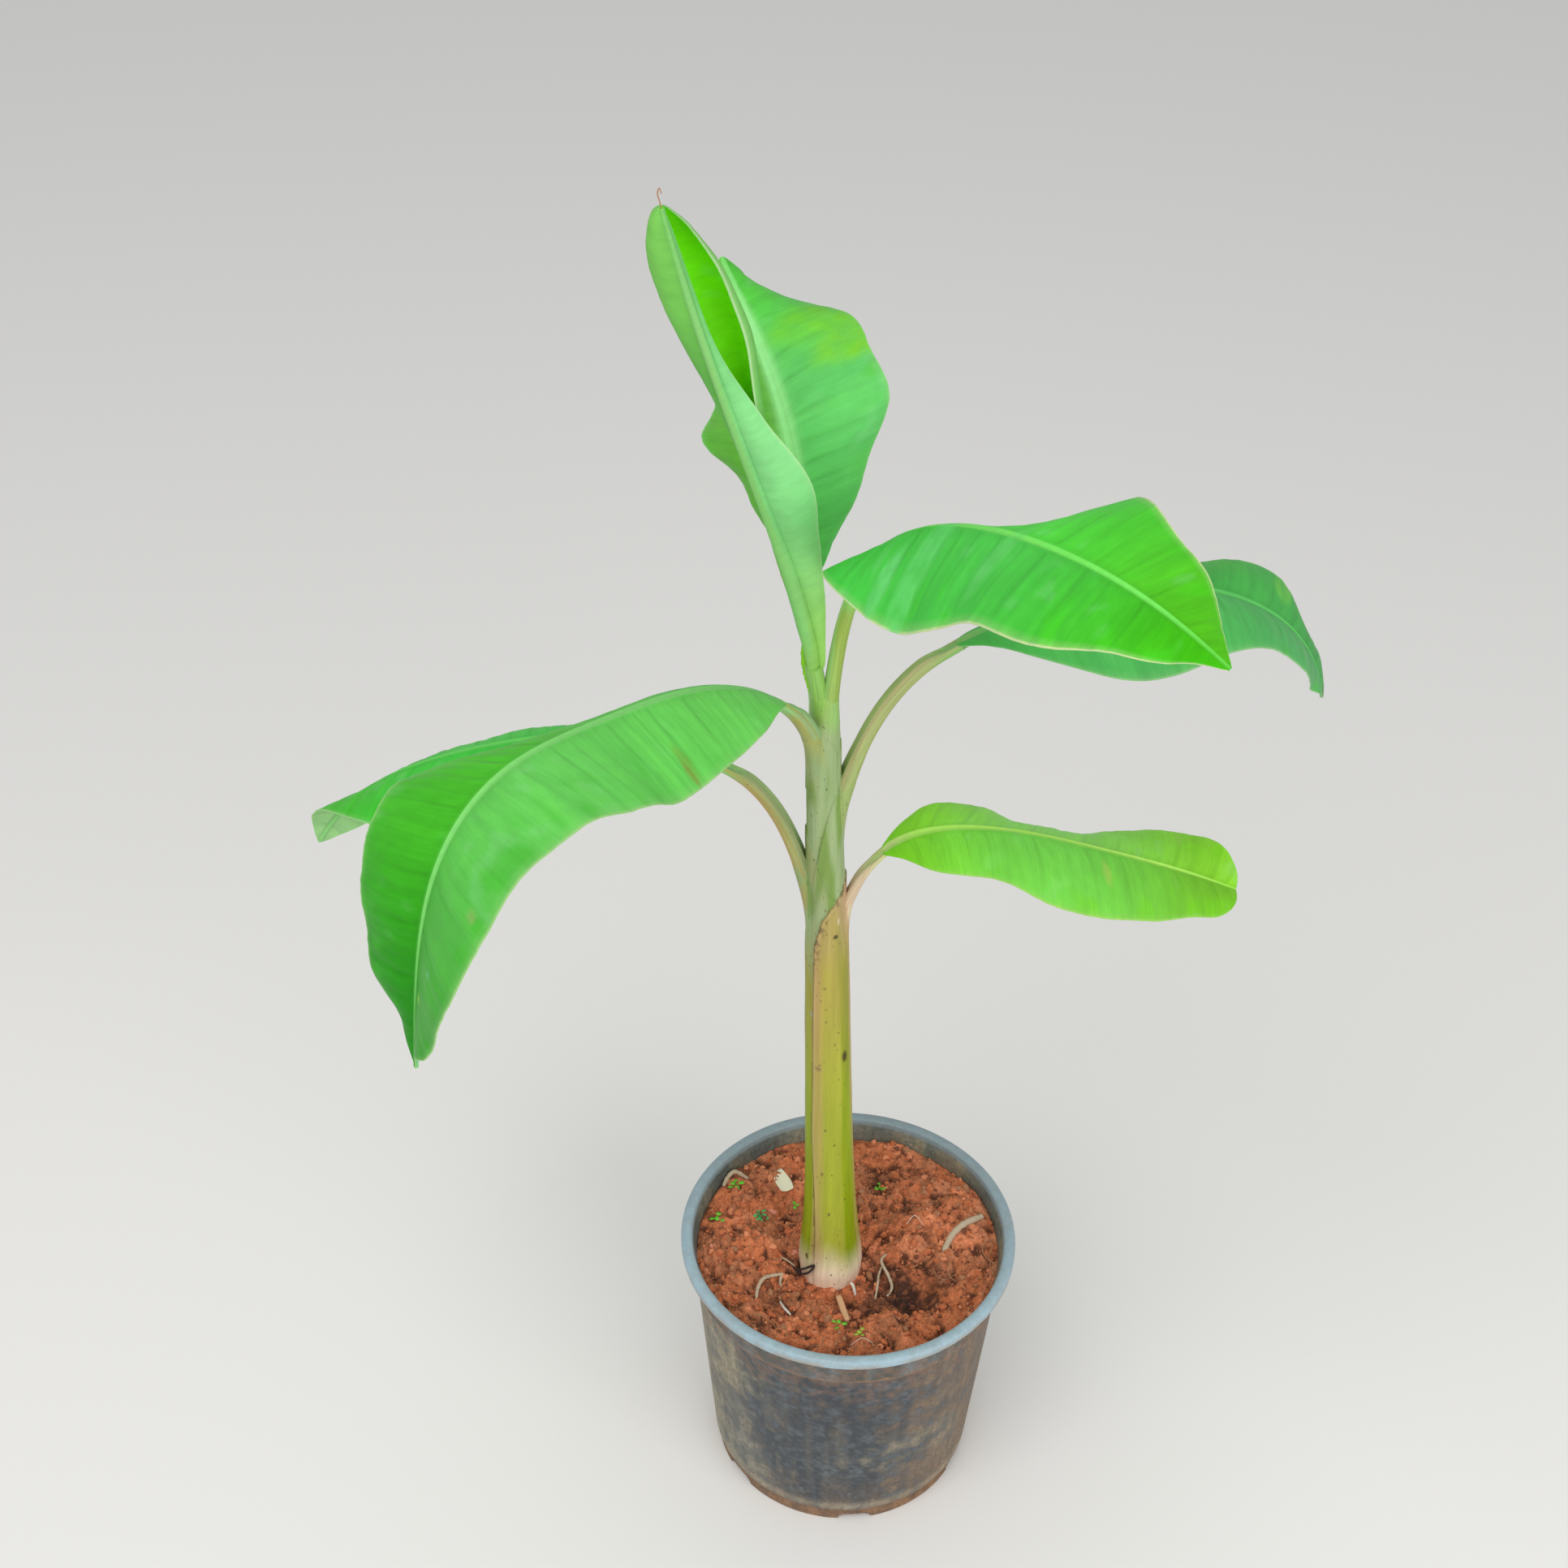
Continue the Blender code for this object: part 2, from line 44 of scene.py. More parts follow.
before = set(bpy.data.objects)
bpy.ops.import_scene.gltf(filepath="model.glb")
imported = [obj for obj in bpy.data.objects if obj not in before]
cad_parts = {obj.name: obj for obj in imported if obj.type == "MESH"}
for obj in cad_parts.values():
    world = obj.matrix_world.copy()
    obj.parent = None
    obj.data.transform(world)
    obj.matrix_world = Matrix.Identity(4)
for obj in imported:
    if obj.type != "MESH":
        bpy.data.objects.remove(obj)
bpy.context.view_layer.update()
MM = 0.001
# colour sockets of a mix node: first, second and result
MIX_A, MIX_B, MIX_OUT = 6, 7, 2
# range that a noise texture mostly stays in
NOISE_SPAN = {"From Min": 0.3, "From Max": 0.7}


# ---- small helpers -----------------------------------------------------------------------
def linear(code):
    """Linear RGB of an sRGB hex colour such as '#8fb34a'."""
    parts = [int(code[i : i + 2], 16) / 255 for i in (1, 3, 5)]
    return tuple(p / 12.92 if p <= 0.04045 else ((p + 0.055) / 1.055) ** 2.4 for p in parts)


def smooth(values, where):
    """Value at each share 0..1 of a curve that passes through evenly spaced stations."""
    values = np.asarray(values, float)
    last = len(values) - 1
    spot = np.clip(np.asarray(where, float), 0, 1) * last
    low = np.clip(np.floor(spot).astype(int), 0, last - 1)
    part = spot - low
    before = values[np.maximum(low - 1, 0)]
    after = values[np.minimum(low + 2, last)]
    start, end = values[low], values[low + 1]
    slope_in, slope_out = (end - before) / 2, (after - start) / 2
    return (
        (2 * part**3 - 3 * part**2 + 1) * start
        + (part**3 - 2 * part**2 + part) * slope_in
        + (3 * part**2 - 2 * part**3) * end
        + (part**3 - part**2) * slope_out
    )


def step(low, high, value):
    """Smooth rise from 0 to 1 as a value goes from low to high."""
    share = np.clip((np.asarray(value, float) - low) / (high - low), 0, 1)
    return share * share * (3 - 2 * share)


def ripple(place, wavelength, seed):
    """Uneven wave of about the given length and a height near 1, the same for the same seed."""
    rng = random.Random(seed)
    total = 0
    for share in (1.0, 0.73, 1.37, 0.57):
        total = total + np.sin(
            2 * math.pi * np.asarray(place) / (wavelength * share) + rng.uniform(0, 2 * math.pi)
        )
    return total / 2.2


def new_mesh(name, points, faces, materials, slots=None, maps=None, tints=None, sharp=50):
    """Object from points and faces, with UV maps and colour attributes given per point."""
    mesh = bpy.data.meshes.new(name)
    mesh.from_pydata(np.asarray(points, float).tolist(), [], [tuple(map(int, f)) for f in faces])
    corners = np.zeros(len(mesh.loops), int)
    mesh.loops.foreach_get("vertex_index", corners)
    for title, values in (maps or {}).items():
        layer = mesh.uv_layers.new(name=title)
        layer.data.foreach_set("uv", np.asarray(values, float)[corners].ravel())
    for title, values in (tints or {}).items():
        layer = mesh.color_attributes.new(title, "FLOAT_COLOR", "POINT")
        colours = np.ones((len(mesh.vertices), 4))
        colours[:, :3] = values
        layer.data.foreach_set("color", colours.ravel())
    for made in materials:
        mesh.materials.append(made)
    if slots is not None:
        mesh.polygons.foreach_set("material_index", np.asarray(slots, int))
    mesh.shade_smooth()
    mesh.set_sharp_from_angle(angle=math.radians(sharp))
    item = bpy.data.objects.new(name, mesh)
    bpy.context.scene.collection.objects.link(item)
    return item


def grid_faces(rows, columns, start=0, closed=False):
    """Quads of a grid of points stored row by row; closed joins the last column to the first."""
    index = np.arange(rows * columns).reshape(rows, columns) + start
    if closed:
        index = np.concatenate([index, index[:, :1]], 1)
    return np.stack(
        [index[:-1, :-1], index[:-1, 1:], index[1:, 1:], index[1:, :-1]], -1
    ).reshape(-1, 4)


def capped_faces(rows, sides):
    """Faces of rings of points joined into a tube that is closed at both ends."""
    faces = [tuple(face) for face in grid_faces(rows, sides, closed=True)]
    faces.append(tuple(range(sides))[::-1])
    faces.append(tuple(range((rows - 1) * sides, rows * sides)))
    return faces


def thicken(piece, thickness):
    """Gives a piece of single faces a real thickness."""
    solid = piece.modifiers.new("thickness", "SOLIDIFY")
    solid.thickness = thickness


def settle(piece, slot, *nodes):
    """The piece rides on the plant's one body and stands for CAD nodes. The slot argument is not
    used.
    """
    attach(piece, "root")
    if nodes:
        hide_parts(*nodes)
    return piece


def add_node(tree, kind, values=None, links=None, **options):
    """Adds a node, sets its options and socket values, and links its inputs."""
    made = tree.nodes.new(kind)
    for key, value in options.items():
        setattr(made, key, value)
    for key, value in (values or {}).items():
        made.inputs[key].default_value = value
    for key, source in (links or {}).items():
        tree.links.new(source, made.inputs[key])
    return made


def new_material(name, **sockets):
    """Material with one Principled shader, whose sockets are set by name."""
    made = bpy.data.materials.new(name)
    made.use_nodes = True
    shader = made.node_tree.nodes["Principled BSDF"]
    for key, value in sockets.items():
        shader.inputs[key.replace("_", " ")].default_value = value
    return made, made.node_tree, shader


# ---- the plant's build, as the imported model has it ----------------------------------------
POT_HEIGHT = 222 * MM
RIM_RADIUS = 127.5 * MM
LIP_WIDTH = 8.5 * MM
LIP_HEIGHT = 8 * MM
LIP_ROUND = 2.5 * MM
LIP_TAPER_END = 12 * MM
COLLAR_HEIGHT = 20 * MM
COLLAR_PROUD = 1.5 * MM
WALL = 2 * MM
FLOOR = 8 * MM
FOOT_RADIUS = 99 * MM
FOOT_HEIGHT = 14.5 * MM
FOOT_STEP = 2.5 * MM
NOTCHES = 6
NOTCH_WIDTH = 26 * MM
NOTCH_HEIGHT = 5 * MM
NOTCH_DEPTH = 9 * MM
NOTCH_TURN = -84
LIP_LOW = POT_HEIGHT - LIP_HEIGHT
# the ledge under the collar sits 6 mm lower than on the plain model
LEDGE = LIP_LOW - COLLAR_HEIGHT - 6 * MM
# how far the rim is out of round, and the direction in degrees of the cleanest side
RIM_WOBBLE = 0.35 * MM
CLEAN_SIDE = -98

SOIL_LEVEL = 190 * MM
SOIL_EDGE = 200 * MM
SEAT_RADIUS = 30 * MM
SOIL_RISE_RUN = 60 * MM
HEAP_FADE = 20 * MM
# heaps and hollows: x, y, spread, height in mm
SOIL_SHAPE = (
    (78, 38, 34, 11), (46, 16, 16, 6), (50, -38, 17, -13), (88, -52, 18, 4), (27, -68, 14, 7),
    (-1, -62, 13, 5), (-28, -46, 12, 5), (-60, -38, 17, -7), (-25, -90, 17, 4), (-70, -72, 18, 3),
    (-84, 14, 26, 9), (-58, 2, 13, 5), (-78, 58, 26, 6), (-48, 96, 24, 5), (24, 78, 14, -6),
    (42, 104, 18, 5),
)
# moist places, darkened as moisture and as painted shade in their hollows: x, y and spread in mm,
# strength
MOIST_AND_SHADE = (
    (44, -36, 25, 1.0), (-38, -14, 9, 0.9), (-52, -50, 12, 0.8), (24, 76, 13, 0.65),
    (-4, -43, 9, 0.8), (16, -56, 12, 0.7), (70, -22, 16, 0.35), (-88, -20, 10, 0.3),
    (26, -8, 9, 0.5), (0, -88, 9, 0.4),
)

# the whole stem stands a little in front of the pot's axis
STEM_Y = -8 * MM
# height, x and radius, given in mm
STEM = np.array((
    (190.3, -13, 22.5), (197, -13, 24.8), (212, -13.5, 24.2), (245, -14.5, 20.8),
    (290, -16, 18.8), (340, -18, 17.8), (400, -20, 17), (460, -22, 16.4), (520, -24, 15.4),
    (560, -25.5, 14), (600, -27, 12.8), (650, -29.5, 11.6), (690, -30, 10.4), (718, -30, 7.6),
    (732, -30, 3.5),
)) * MM

# attach: height on the stem where the rail starts    stalk, blade: lengths along the rail
# radius: stalk at its root, its middle and the blade, then the midrib's end
# pitch, heading: slope and compass direction, stations from root to tip
# roll, lift: twist and both halves' rise from the midrib, stations along the blade
# left, right: half widths in mm from the blade's base to its tip
# fold_left, fold_right: added rise across each half, from the midrib to the margin
# nodes: what the blade stands for    tones: its colours, at the blade's root, middle and end
# marks: scuffs and spots, and on some leaves patches of painted light, as distance from the midrib
# and along the blade in mm, radius, stretch along the veins, colour    calm: share of the relief
# point: how the tip narrows
# rib_out: share of a half that the midrib's colour reaches    easy: EASY_WIDTH of this leaf in mm
# under_left, under_right: tones of the underside's halves where it isn't one colour
LEAVES = (
    dict(
        name="leaf_1", attach=0.512, stalk=0.095, blade=0.25, radius=(8, 4.6, 3.8, 1.2),
        pitch=(75, 65, 14, -10, -18, -26), heading=(0, -5, 5),
        roll=(14, -13, -4, 25), lift=(2, -9, -7, 18),
        left=(5, 38, 56, 58, 59, 48, 38, 26), right=(7, 36, 45, 61, 59, 48, 34, 24),
        fold_left=(0, -20), fold_right=(0, -22), nodes=("blade",),
        tones=dict(left=("#84d224", "#90e454", "#84cc30"), right=("#7ed028", "#78d24e", "#74ba2a"),
                   vivid="#76d01c", rib="#aee462", edge="#a3cf6c", under="#8fcf7c",
                   stalk="#d2c2a0", band="#d0ae92", lip="#c09c86"),
        marks=((-22, 150, 3, 4, "#a8cc58"), (30, 205, 2.5, 3, "#98cc50")),
    ),
    dict(
        name="leaf_2", attach=0.525, stalk=0.165, blade=0.312, radius=(9, 6, 5, 1.4),
        pitch=(74, 66, 15, -11, -30, -62), heading=(176, 177, 171),
        roll=(8, 12, 12, 20, 85), lift=(-3, -6, -8, 4),
        left=(8, 43, 61, 69, 68, 50, 26, 8), right=(8, 43, 60, 68, 68, 50, 26, 8),
        fold_left=(0, -25), fold_right=(0, -28), nodes=("blade_inner", "blade_outer"),
        tones=dict(left=("#3ec044", "#3ec43a", "#4ab82e"), right=("#3cbf42", "#3cc438", "#4ab82e"),
                   vivid="#3cb41c", rib="#64ca58", edge="#9ccf84", under="#8cbe7c",
                   stalk="#94a870", band="#b8984e", lip="#857a52"),
        # both marks are painted light, brown yellow on the crest where the tip curls over
        marks=((40, 296, 9, 2, "#b09c4c"), (18, 306, 5, 2, "#b8a45c")),
    ),
    dict(
        name="leaf_3", attach=0.608, stalk=0.175, blade=0.285, radius=(9, 5.6, 5.2, 1.3),
        pitch=(77, 66, 29, 9, -26, -75), heading=(7, 6, 0),
        roll=(-12, -4, 3, 16), lift=(-6, -28, 12, 9),
        left=(8, 35, 54, 60, 52, 47, 24, 8), right=(8, 36, 58, 63, 54, 40, 30, 8),
        fold_left=(0, -26), fold_right=(0, -28), nodes=("blade_inner", "blade_outer"),
        # the right half's bluer, duller green is painted shade cast by leaf_5
        tones=dict(left=("#45ad45", "#47ae47", "#479f4e"), right=("#4cb04c", "#50b058", "#56a860"),
                   vivid="#46b234", rib="#5cb85c", edge="#8fbf84", under="#7fbf8f",
                   stalk="#9cae6a", band="#a8a870", lip="#b08c74"),
        # the first mark is the dried tip; the second is a painted patch of light on the blade
        marks=((4, 283, 6, 1, "#6b4a2e"), (30, 215, 8, 2, "#6fc04a")),
    ),
    dict(
        name="leaf_4", attach=0.65, stalk=0.102, blade=0.43, radius=(9.5, 6.6, 5.2, 1.4),
        pitch=(83, 42, 13, 0, -68, -84), heading=(224, 229, 235),
        roll=(6, 12, 15, 29), lift=(-9, -19, 13, 23),
        left=(12, 48, 68, 78, 76, 73, 54, 16), right=(12, 46, 62, 69, 72, 67, 52, 14),
        fold_left=(0, -12), fold_right=(0, -25), nodes=("blade_inner", "blade_outer"),
        point=(1.2, 0.9),
        # both halves darken towards the end as painted shade on the drooping tip
        tones=dict(left=("#70ca5c", "#66c956", "#2c9414"), right=("#66c058", "#4abb28", "#188a00"),
                   vivid="#3cb01a", rib="#7ed06c", edge="#97c67c", under="#84c584",
                   stalk="#90b488", band="#a39634", lip="#8ca45c"),
        marks=((52, 135, 4, 4, "#7a9c3c"), (61, 138, 2.6, 4, "#86803c"),
               (56, 300, 3.4, 1, "#8aa860"), (15, 370, 2.6, 1.6, "#a4d23c"),
               (30, 345, 2.4, 1, "#7fd0b0")),
    ),
    dict(
        name="leaf_5", attach=0.673, stalk=0.151, blade=0.324, radius=(6.5, 5, 4.4, 1.4),
        pitch=(85, 78, 53, 21, 1, -22), heading=(-58, -54, -43),
        roll=(-30, -8, 15, 4), lift=(-8, -32, 10, -3),
        left=(10, 46, 66, 77, 70, 50, 35, 8), right=(10, 50, 71, 75, 65, 63, 35, 8),
        fold_left=(0, -21), fold_right=(0, -22), nodes=("blade",),
        tones=dict(left=("#56d24c", "#4ccf3c", "#4cb014"), right=("#46c843", "#48be46", "#3cb00a"),
                   vivid="#42c818", rib="#74da5c", edge="#c4d09c", under="#86cf84",
                   stalk="#94c87c", band="#94aa4c", lip="#8cb04a"),
        marks=((-34, 120, 12, 5, "#66cf6c"), (-48, 95, 8, 4, "#6cd272"),
               (-22, 176, 7, 5, "#66cd66")),
    ),
    dict(
        name="leaf_6", attach=0.692, stalk=0.109, blade=0.209, radius=(7, 5.4, 4.8, 1.4),
        pitch=(76, 76, 85, 66, 44, 40), heading=(131, 123, 122),
        roll=(-46, -45, -43, -10), lift=(-12, -3, -17, -33),
        left=(10, 37, 52, 73, 63, 56, 28, 6), right=(10, 28, 45, 67, 68, 67, 40, 8),
        fold_left=(0, -43), fold_right=(0, -49), nodes=("blade",), rib_out=0.06,
        # the left half's darker, yellower greens are painted shade, with painted light shining
        # through the blade near its base
        tones=dict(left=("#50a026", "#60ac3c", "#5cb838"), right=("#50b04e", "#61c262", "#50bc3a"),
                   vivid="#54b820", rib="#8ed884", edge="#86c878", under="#84cb88",
                   stalk="#9ccb80", band="#8fbf6c", lip="#9cc060"),
        marks=((-50, 150, 16, 3, "#74c82a"), (-58, 128, 12, 3, "#7ac82c")),
    ),
    dict(
        name="leaf_7", attach=0.7, stalk=0.05, blade=0.358, radius=(6.5, 6, 5.6, 1.4),
        pitch=(80, 72, 68, 69, 73), heading=(225, 225, 225),
        roll=(3, 22, 0, 12, 45, 77), lift=(0, 0, 0, 0),
        left=(8, 17, 26, 36, 20, 7, 4, 3), right=(6, 13, 26, 31, 54, 80, 72, 38),
        fold_left=(-5, 76), fold_right=(0, 50, 112, 137, 186, 223, 295),
        nodes=("blade_lower", "blade_upper"),
        # the young leaf's own yellow green, made vivid as painted light shining through it; the
        # underside's halves also carry painted light through the rolled blade
        tones=dict(left=("#6cd800", "#84ee12", "#84ee1a"), right=("#6cd800", "#84ee12", "#84ee1a"),
                   vivid="#7cf000", rib="#87ba60", edge="#b6d8a0", under="#84d086",
                   under_left=("#90c45c", "#8ad68a", "#6cb866"),
                   under_right=("#a8be48", "#66b450", "#74bc54"),
                   stalk="#8ab858", band="#84b050", lip="#8eb45c"),
        marks=(), calm=0.3, easy=5,
    ),
)
# midrib section in radii: how far out, then its top and underside
RIB_SECTION = (
    (0.0, -0.22, -1.1), (0.25, -0.17, -1.07), (0.5, 0.0, -0.95), (0.75, 0.13, -0.75),
    (1.0, 0.1, -0.42),
)
# height in radii at which a blade leaves its midrib, and the most of a half that the midrib takes
RIB_AS_PACKED = 0.1
SHOULDER_MOST = 0.5
# how far a half leans towards the tip for each step outwards
BLADE_SWEEP = 0.15
# share of a stalk where its middle radius holds
STALK_MIDDLE = 0.45
TIP_WIDTH = 2.2 * MM
# a half that is narrower than this folds less
EASY_WIDTH = 20 * MM
# shares of a blade: where it is fully wide, where its tip starts, and from either end where its
# relief has faded in and where its rows lie closer
WIDE_FROM = 0.035
ROUND_FROM = 0.9
CALM_END = 0.05
CLOSE_END = 0.02
# steps of a leaf's centre line
RAIL_STEPS = 240
# a side vein first runs this far towards the tip, and bends outwards over the second length
VEIN_BACK = 4 * MM
VEIN_BEND = 8 * MM
# spacing of the pleats along a blade
PLEAT = 13 * MM


def stem_at(height):
    """x and radius of the pseudostem at each height."""
    heights, across, radii = STEM.T
    return np.interp(height, heights, across), np.interp(height, heights, radii)


def stem_round(height):
    """x and radius of the pseudostem with the corners of its profile rounded off."""
    shifts = (-9 * MM, -4.5 * MM, 0.0, 4.5 * MM, 9 * MM)
    return np.mean([stem_at(np.asarray(height) + shift) for shift in shifts], 0)


class Rail:
    """Centre line of one leaf with its frame: along, to the left, and up out of the blade."""

    def __init__(self, leaf):
        self.leaf = leaf
        self.length = leaf["stalk"] + leaf["blade"]
        self.share = np.linspace(0, 1, RAIL_STEPS + 1)
        self.slope = np.radians(smooth(leaf["pitch"], self.share))
        self.turn = np.radians(smooth(leaf["heading"], self.share))
        along = self.direction(self.slope, self.turn)
        root = np.array([stem_at(leaf["attach"])[0], STEM_Y, leaf["attach"]])
        steps = (along[1:] + along[:-1]) / 2 * self.length / RAIL_STEPS
        self.points = np.concatenate([[root], root + np.cumsum(steps, 0)])

    @staticmethod
    def direction(slope, turn):
        return np.stack(
            [np.cos(slope) * np.cos(turn), np.cos(slope) * np.sin(turn), np.sin(slope)], -1
        )

    def at(self, distance):
        """Points, directions, lefts and ups at distances from the root."""
        where = np.asarray(distance) / self.length
        point = np.stack([np.interp(where, self.share, self.points[:, i]) for i in range(3)], -1)
        slope = np.interp(where, self.share, self.slope)
        turn = np.interp(where, self.share, self.turn)
        along = self.direction(slope, turn)
        left = np.stack([-np.sin(turn), np.cos(turn), np.zeros_like(turn)], -1)
        return point, along, left, np.cross(along, left)

    def radius(self, distance):
        root, middle, base, tip = (value * MM for value in self.leaf["radius"])
        stalk = self.leaf["stalk"]
        on_stalk = np.interp(distance, (0, STALK_MIDDLE * stalk, stalk), (root, middle, base))
        on_blade = np.interp(distance, (stalk, self.length), (base, tip))
        return np.where(np.asarray(distance) <= stalk, on_stalk, on_blade)


# ---- settings ----------------------------------------------------------------------------
def length(name, description, default):
    return FloatProperty(name=name, description=description, default=default, unit="LENGTH")


def number(name, description, default, low, high):
    return IntProperty(name=name, description=description, default=default, min=low, max=high)


def colour(name, description, code):
    return FloatVectorProperty(
        name=name, description=description, default=linear(code), subtype="COLOR", min=0, max=1
    )


class BladeSettings(bpy.types.PropertyGroup):
    """Leaf blades: fineness, thickness and relief."""

    station_step: length("Station step", "Spacing of the rows of points along a blade", 1.6 * MM)
    columns: number("Columns", "Points across each half blade", 22, 6, 60)
    thickness: length("Thickness", "Thickness of the leaf at its midrib", 1.0 * MM)
    margin_thickness: length("Margin thickness", "Thickness at the leaf's margin", 0.6 * MM)
    pleat_height: length("Pleat height", "Height of the pleats along the side veins", 0.42 * MM)
    wave_length: length("Wave length", "Length of the waves in a leaf's margin", 74 * MM)
    wave_height: length("Wave height", "Height of the waves in a leaf's margin", 1.5 * MM)


class StalkSettings(bpy.types.PropertyGroup):
    """Leaf stalks."""

    sides: number("Sides", "Points round a stalk", 36, 12, 96)
    stations: number("Stations", "Rows of points along a stalk", 70, 10, 200)
    channel: FloatProperty(
        name="Channel", description="Depth of the channel on top, as a share of the radius",
        default=0.5, min=0, max=0.9, subtype="FACTOR",
    )


class StemSettings(bpy.types.PropertyGroup):
    """Pseudostem of rolled leaf sheaths."""

    sides: number("Sides", "Points round the stem", 150, 24, 360)
    rows: number("Rows", "Rows of points up the stem", 330, 40, 900)
    green: colour("Green", "Yellow green of the lower sheaths", "#a3a43a")
    # dark green and olive are the sheaths' own darker greens, deepened as painted shade down the
    # stem's sides
    dark_green: colour("Dark green", "Green bands down the sides of the stem", "#7f9004")
    olive: colour("Olive", "Olive strips at the stem's sides", "#8e9c10")
    beige: colour("Beige", "Pinkish beige bands", "#b3985c")
    pale: colour("Pale", "Waxy grey green of the upper sheaths", "#98ae80")
    foot: colour("Foot", "Pinkish white of the swollen foot", "#fae5ca")
    margin: colour("Margin", "Brown line along a sheath's margin", "#4e3c30")


class PotSettings(bpy.types.PropertyGroup):
    """Nursery pot."""

    sides: number("Sides", "Points round the pot", 240, 48, 480)
    plastic: colour("Plastic", "Black plastic where it is clean", "#2d343d")
    # the lip's pale bluish colour is partly a painted reflection, strongest at the front
    lip: colour("Lip", "Scuffed, chalky plastic of the lip", "#9db4bf")
    dust: colour("Dust", "Soil dust dried on the wall", "#7a6856")
    film: colour("Film", "Grey film of dried water on the wall", "#737b7e")
    mottle: length("Mottle", "Size of the dusty patches", 26 * MM)


class SoilSettings(bpy.types.PropertyGroup):
    """Soil filling and what lies on it."""

    sides: number("Sides", "Points round the soil", 400, 48, 600)
    rings: number("Rings", "Rings of points from the stem to the wall", 140, 12, 240)
    clod: length("Clod", "Size of the larger lumps", 17 * MM)
    crumbs: number("Crumbs", "Loose crumbs on the surface", 5200, 0, 8000)
    red: colour("Red", "Dry red soil", "#cb764c")
    # bright is loose orange soil and also paints the pool of light on the right plateau
    bright: colour("Bright", "Loose orange soil", "#ee986f")
    # dark is moist soil and also paints the shade in the hollows
    dark: colour("Dark", "Moist soil in the hollows", "#4c2c20")


class StageSettings(bpy.types.PropertyGroup):
    """Floor, lights and camera."""

    floor: colour("Floor", "Plain pale floor", "#e9e6e2")
    key_power: FloatProperty(
        name="Key", description="Power of the key light", default=62, unit="POWER"
    )
    fill_power: FloatProperty(
        name="Fill", description="Power of the fill light", default=44, unit="POWER"
    )
    sky: FloatProperty(name="Sky", description="Strength of the even light all round", default=0.6)
    camera_height: length("Camera height", "Height of the camera above the floor", 1.5716)
    camera_back: length("Camera back", "Distance of the camera in front of the pot", 1.2288)
    camera_side: length("Camera side", "Distance of the camera to the right of the pot", -0.0552)
    lens: FloatProperty(
        name="Lens", description="Focal length in mm on a 36 mm sensor", default=54.04
    )
    look_down: FloatProperty(
        name="Look down", description="How far the camera looks down",
        default=math.radians(36.98), subtype="ANGLE",
    )
    camera_roll: FloatProperty(
        name="Roll", description="How far the camera is tilted sideways",
        default=math.radians(1.05), subtype="ANGLE",
    )


# ---- shared surface helpers --------------------------------------------------------------
def mix(first, second, share):
    """Blend of two linear colours, or of arrays of them, by an array of shares."""
    share = np.clip(np.asarray(share, float), 0, 1)[..., None]
    return np.asarray(first, float) * (1 - share) + np.asarray(second, float) * share


def cloud(places, size, seed=0):
    """Soft noise with lumps of about the given size at each place, between -1 and 1."""
    spots = np.asarray(places, float) / np.asarray(size, float) + seed * 7.31
    return np.array([noise.noise(spot) for spot in spots.reshape(-1, 3)]).reshape(spots.shape[:-1])


def spot_share(across, along, radius, stretch):
    """1 in the middle of an oval spot and 0 outside it; stretch is its length over its width."""
    return 1 - step(0.55, 1.15, np.hypot(across / (radius * stretch), along / radius))


